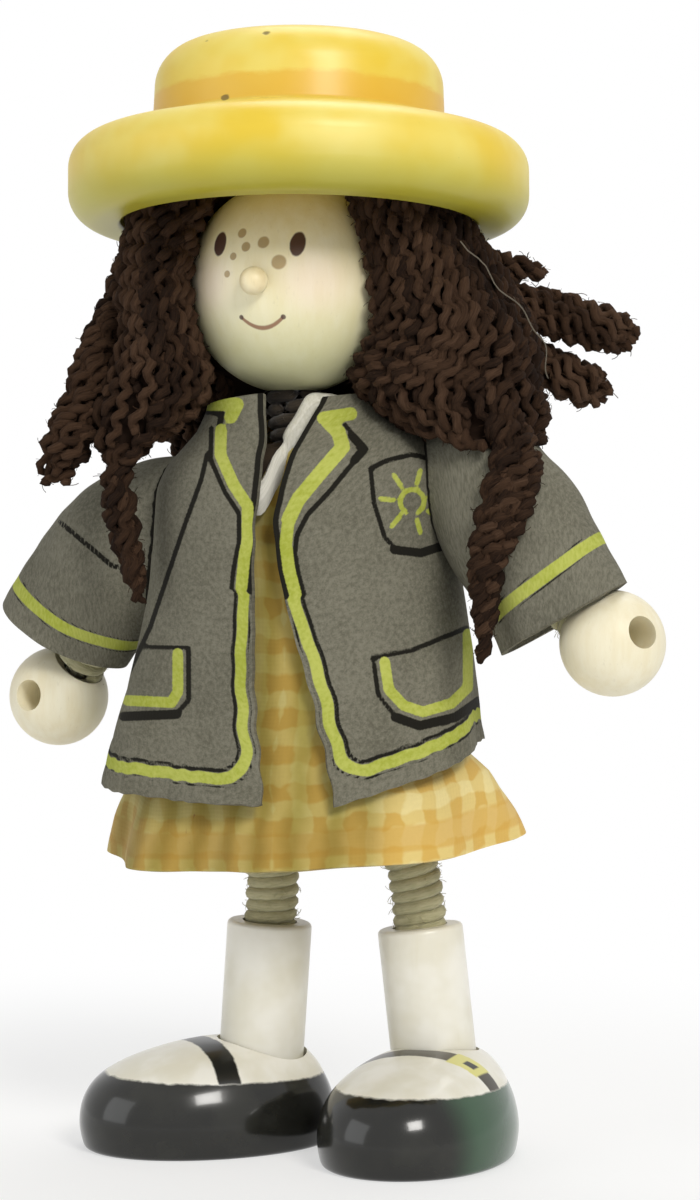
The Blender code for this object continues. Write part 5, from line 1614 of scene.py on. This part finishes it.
def lockYarns(rows, rng, ragged, lift):
    # A loosely twisted bundle of yarns in two rings that fills a lock
    table = smoothPath(np.array(rows) * hair["headRadius"], 12)
    path = toHairWorld(table[:, 0], table[:, 1], table[:, 2])
    one, other = carried(path)
    along = travelled(path[None])[0]
    full = table[:, 3]
    size = np.minimum(hair["yarn"] * 0.95, full * 0.5)
    yarns = []
    for share, twist in ((1.0, 1), (0.42, -1)):
        ring = np.maximum(0, full - size * 1.3) * share
        count = max(2, round(ring.max() * 2 * pi / (hair["yarn"] * 1.8)))
        for index in range(count):
            turn = 2 * pi * index / count + twist * along * 2 * pi / 24 + 0.3 * softNoise(index, along[:, None], 0.5)
            bundle = path + (one * np.cos(turn)[:, None] + other * np.sin(turn)[:, None]) * ring[:, None]
            bundle = clearOf(bundle, hair["yarn"])
            line = evened(bundle, along[-1] * (1 - ragged * rng.random()), hair["step"])
            radius = np.interp(travelled(line[None])[0], along, size) * (1 + 0.12 * softNoise(index + 5, line, 1.3))
            yarns.append(twistedYarn(crimped(line, rng), radius, hair["plies"], hair["pitch"], hair["depth"],
                                     hair["sides"], rng.random() + lift))
    return yarns


def finishHair(piece, node, seed):
    looseFibres.run(piece, Density=0.5e6, Length=0.6 * mm, Thickness=0.028 * mm, Lift=0.35, Seed=seed,
                    Material=yarnMaterial)
    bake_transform(piece)
    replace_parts(piece, node)
    print(piece.name, len(piece.data.polygons))


def buildHair():
    counts = {"hair_back": (46, 16), "hair_left": (42, 16), "hair_right": (24, 9)}
    for seed, (node, rows) in enumerate(hairMasses.items()):
        rng = np.random.default_rng(100 + seed)
        yarns = massYarns(rows, counts[node][0], hair["yarn"], rng, node == "hair_left")
        yarns += massYarns(rows, counts[node][1], hair["yarn"] * 2.2, rng)
        yarns.append(massCore(rows))
        if node == "hair_left":
            yarns.append(looseThread(rows))
        finishHair(makeYarns(camel(node), yarns, yarnMaterial), node, seed)
    for seed, (node, rows) in enumerate(hairLocks.items()):
        rng = np.random.default_rng(200 + seed)
        # Painted light: the tufts' yarns are given a lighter tone
        ragged, lift = (0.04, 0.4) if "tuft" in node else (0.12, 0)
        finishHair(makeYarns(camel(node), lockYarns(rows, rng, ragged, lift), yarnMaterial), node, 20 + seed)


def camel(node):
    first, *rest = node.split("_")
    return first + "".join(word.capitalize() for word in rest) + "Yarn"


buildHair()
print("hair made")


# Wires and wooden core, carried over from the CAD model

def steelPaint():
    paint = Paint("bentSteelWire", 0.38, Metallic=1.0)
    drawn = paint.noise(1500, 3, 0.6, paint.moved(scale=(1, 1, 0.1)))
    dull = paint.noise(240, 3, 0.6)
    colour = paint.mix(dull.rise(0.35, 0.65), (0.36, 0.36, 0.35), (0.52, 0.51, 0.49))
    return paint.feed(colour, 0.28 + dull * 0.3, drawn, 0.2, 0.03 * mm)


def torsoShadeWood():
    # Painted shade: the torso's wood is made near black for the deep shade in the opening at the neck
    paint = Paint("darkStainedWood", 0.6)
    colour, streaks, flecks = woodSignals(paint, paint.place, (0.022, 0.013, 0.007), (0.05, 0.032, 0.018))
    return paint.feed(colour, 0.5 + streaks * 0.2, streaks * 0.6 + flecks * 0.4, 0.3, 0.05 * mm)


steelMaterial = steelPaint()
torsoShadeMaterial = torsoShadeWood()
for name, node in frame["nodes"].items():
    if "_wire" in name or name == "torso_core":
        node.data.materials.clear()
        node.data.materials.append(torsoShadeMaterial if name == "torso_core" else steelMaterial)


# Floor, light and camera

def buildStudio():
    bpy.ops.mesh.primitive_plane_add(size=6)
    floor = bpy.context.object
    floor.name = "studioFloor"
    floor.location.z = -0.02 * mm
    material = bpy.data.materials.new("palePaper")
    material.use_nodes = True
    board = Board(material.node_tree)
    shader = board.tree.nodes["Principled BSDF"]
    shader.inputs["Base Color"].default_value = (*studio["floor"], 1)
    shader.inputs["Roughness"].default_value = 0.9
    seen = board.add("ShaderNodeLightPath", output=0)
    glossy = Signal(board, seen.socket.node.outputs["Is Glossy Ray"])
    through = Signal(board, seen.socket.node.outputs["Is Transmission Ray"])
    place = board.add("ShaderNodeTexCoord", output=3)
    away = ((place.part(0) ** 2 + place.part(1) ** 2).root() / mm).rise(45, 120)
    white = board.add("ShaderNodeEmission", {"Color": (1, 1, 1, 1), "Strength": 1.0})
    share = seen.most(glossy).most(through) * (away * 0.45 + 0.55)
    mixed = board.add("ShaderNodeMixShader", {0: share, 1: Signal(board, shader.outputs[0]), 2: white})
    board.tree.links.new(mixed.socket, board.tree.nodes["Material Output"].inputs["Surface"])
    floor.data.materials.append(material)

    world = bpy.data.worlds.new("softStudio")
    bpy.context.scene.world = world
    world.use_nodes = True
    sky = Board(world.node_tree)
    backdrop = world.node_tree.nodes["Background"]
    seen = sky.add("ShaderNodeLightPath", output=0)
    glossy = Signal(sky, seen.socket.node.outputs["Is Glossy Ray"])
    through = Signal(sky, seen.socket.node.outputs["Is Transmission Ray"])
    plain = seen.most(glossy * 0.75).most(through)
    sky.tree.links.new((0.36 + plain * 0.64).socket, backdrop.inputs["Strength"])
    backdrop.inputs["Color"].default_value = (1, 1, 1, 1)

    def lamp(name, place, size, power, colour=(1, 1, 1)):
        data = bpy.data.lights.new(name, "AREA")
        data.size = size
        data.energy = power
        data.color = colour
        made = bpy.data.objects.new(name, data)
        bpy.context.scene.collection.objects.link(made)
        made.location = Vector(place)
        made.rotation_euler = (Vector((0, 0, 0.05)) - made.location).to_track_quat("-Z", "Y").to_euler()

    lamp("keySoftbox", (0.37, -0.49, 0.46), 0.22, 3.1, (1, 0.98, 0.94))
    lamp("fillSoftbox", (-0.50, -0.35, 0.22), 0.40, 0.7, (0.97, 0.99, 1))
    lamp("topSoftbox", (0.0, 0.25, 0.60), 0.35, 1.3)


def buildCamera():
    turn = radians(doll["cameraTurn"])
    across = Vector((cos(turn), sin(turn), 0))
    towards = Vector((sin(turn), -cos(turn), 0))
    aimPoint = origin + across * (studio["aimAcross"] * mm) + Vector((0, 0, studio["aimUp"] * mm))
    place = origin + towards * (studio["distance"] * mm) + Vector((0, 0, studio["height"] * mm))
    data = bpy.data.cameras.new("photoCamera")
    data.sensor_fit = "VERTICAL"
    data.sensor_height = 36
    data.lens = 36 * studio["focal"] / 1200
    data.clip_start = 0.005
    camera = bpy.data.objects.new("photoCamera", data)
    bpy.context.scene.collection.objects.link(camera)
    camera.location = place
    camera.rotation_euler = (aimPoint - place).to_track_quat("-Z", "Y").to_euler()
    bpy.context.scene.camera = camera


buildStudio()
buildCamera()
bpy.context.scene.view_settings.view_transform = "Standard"
bpy.data.materials.remove(blankMaterial)
print("studio and camera set")
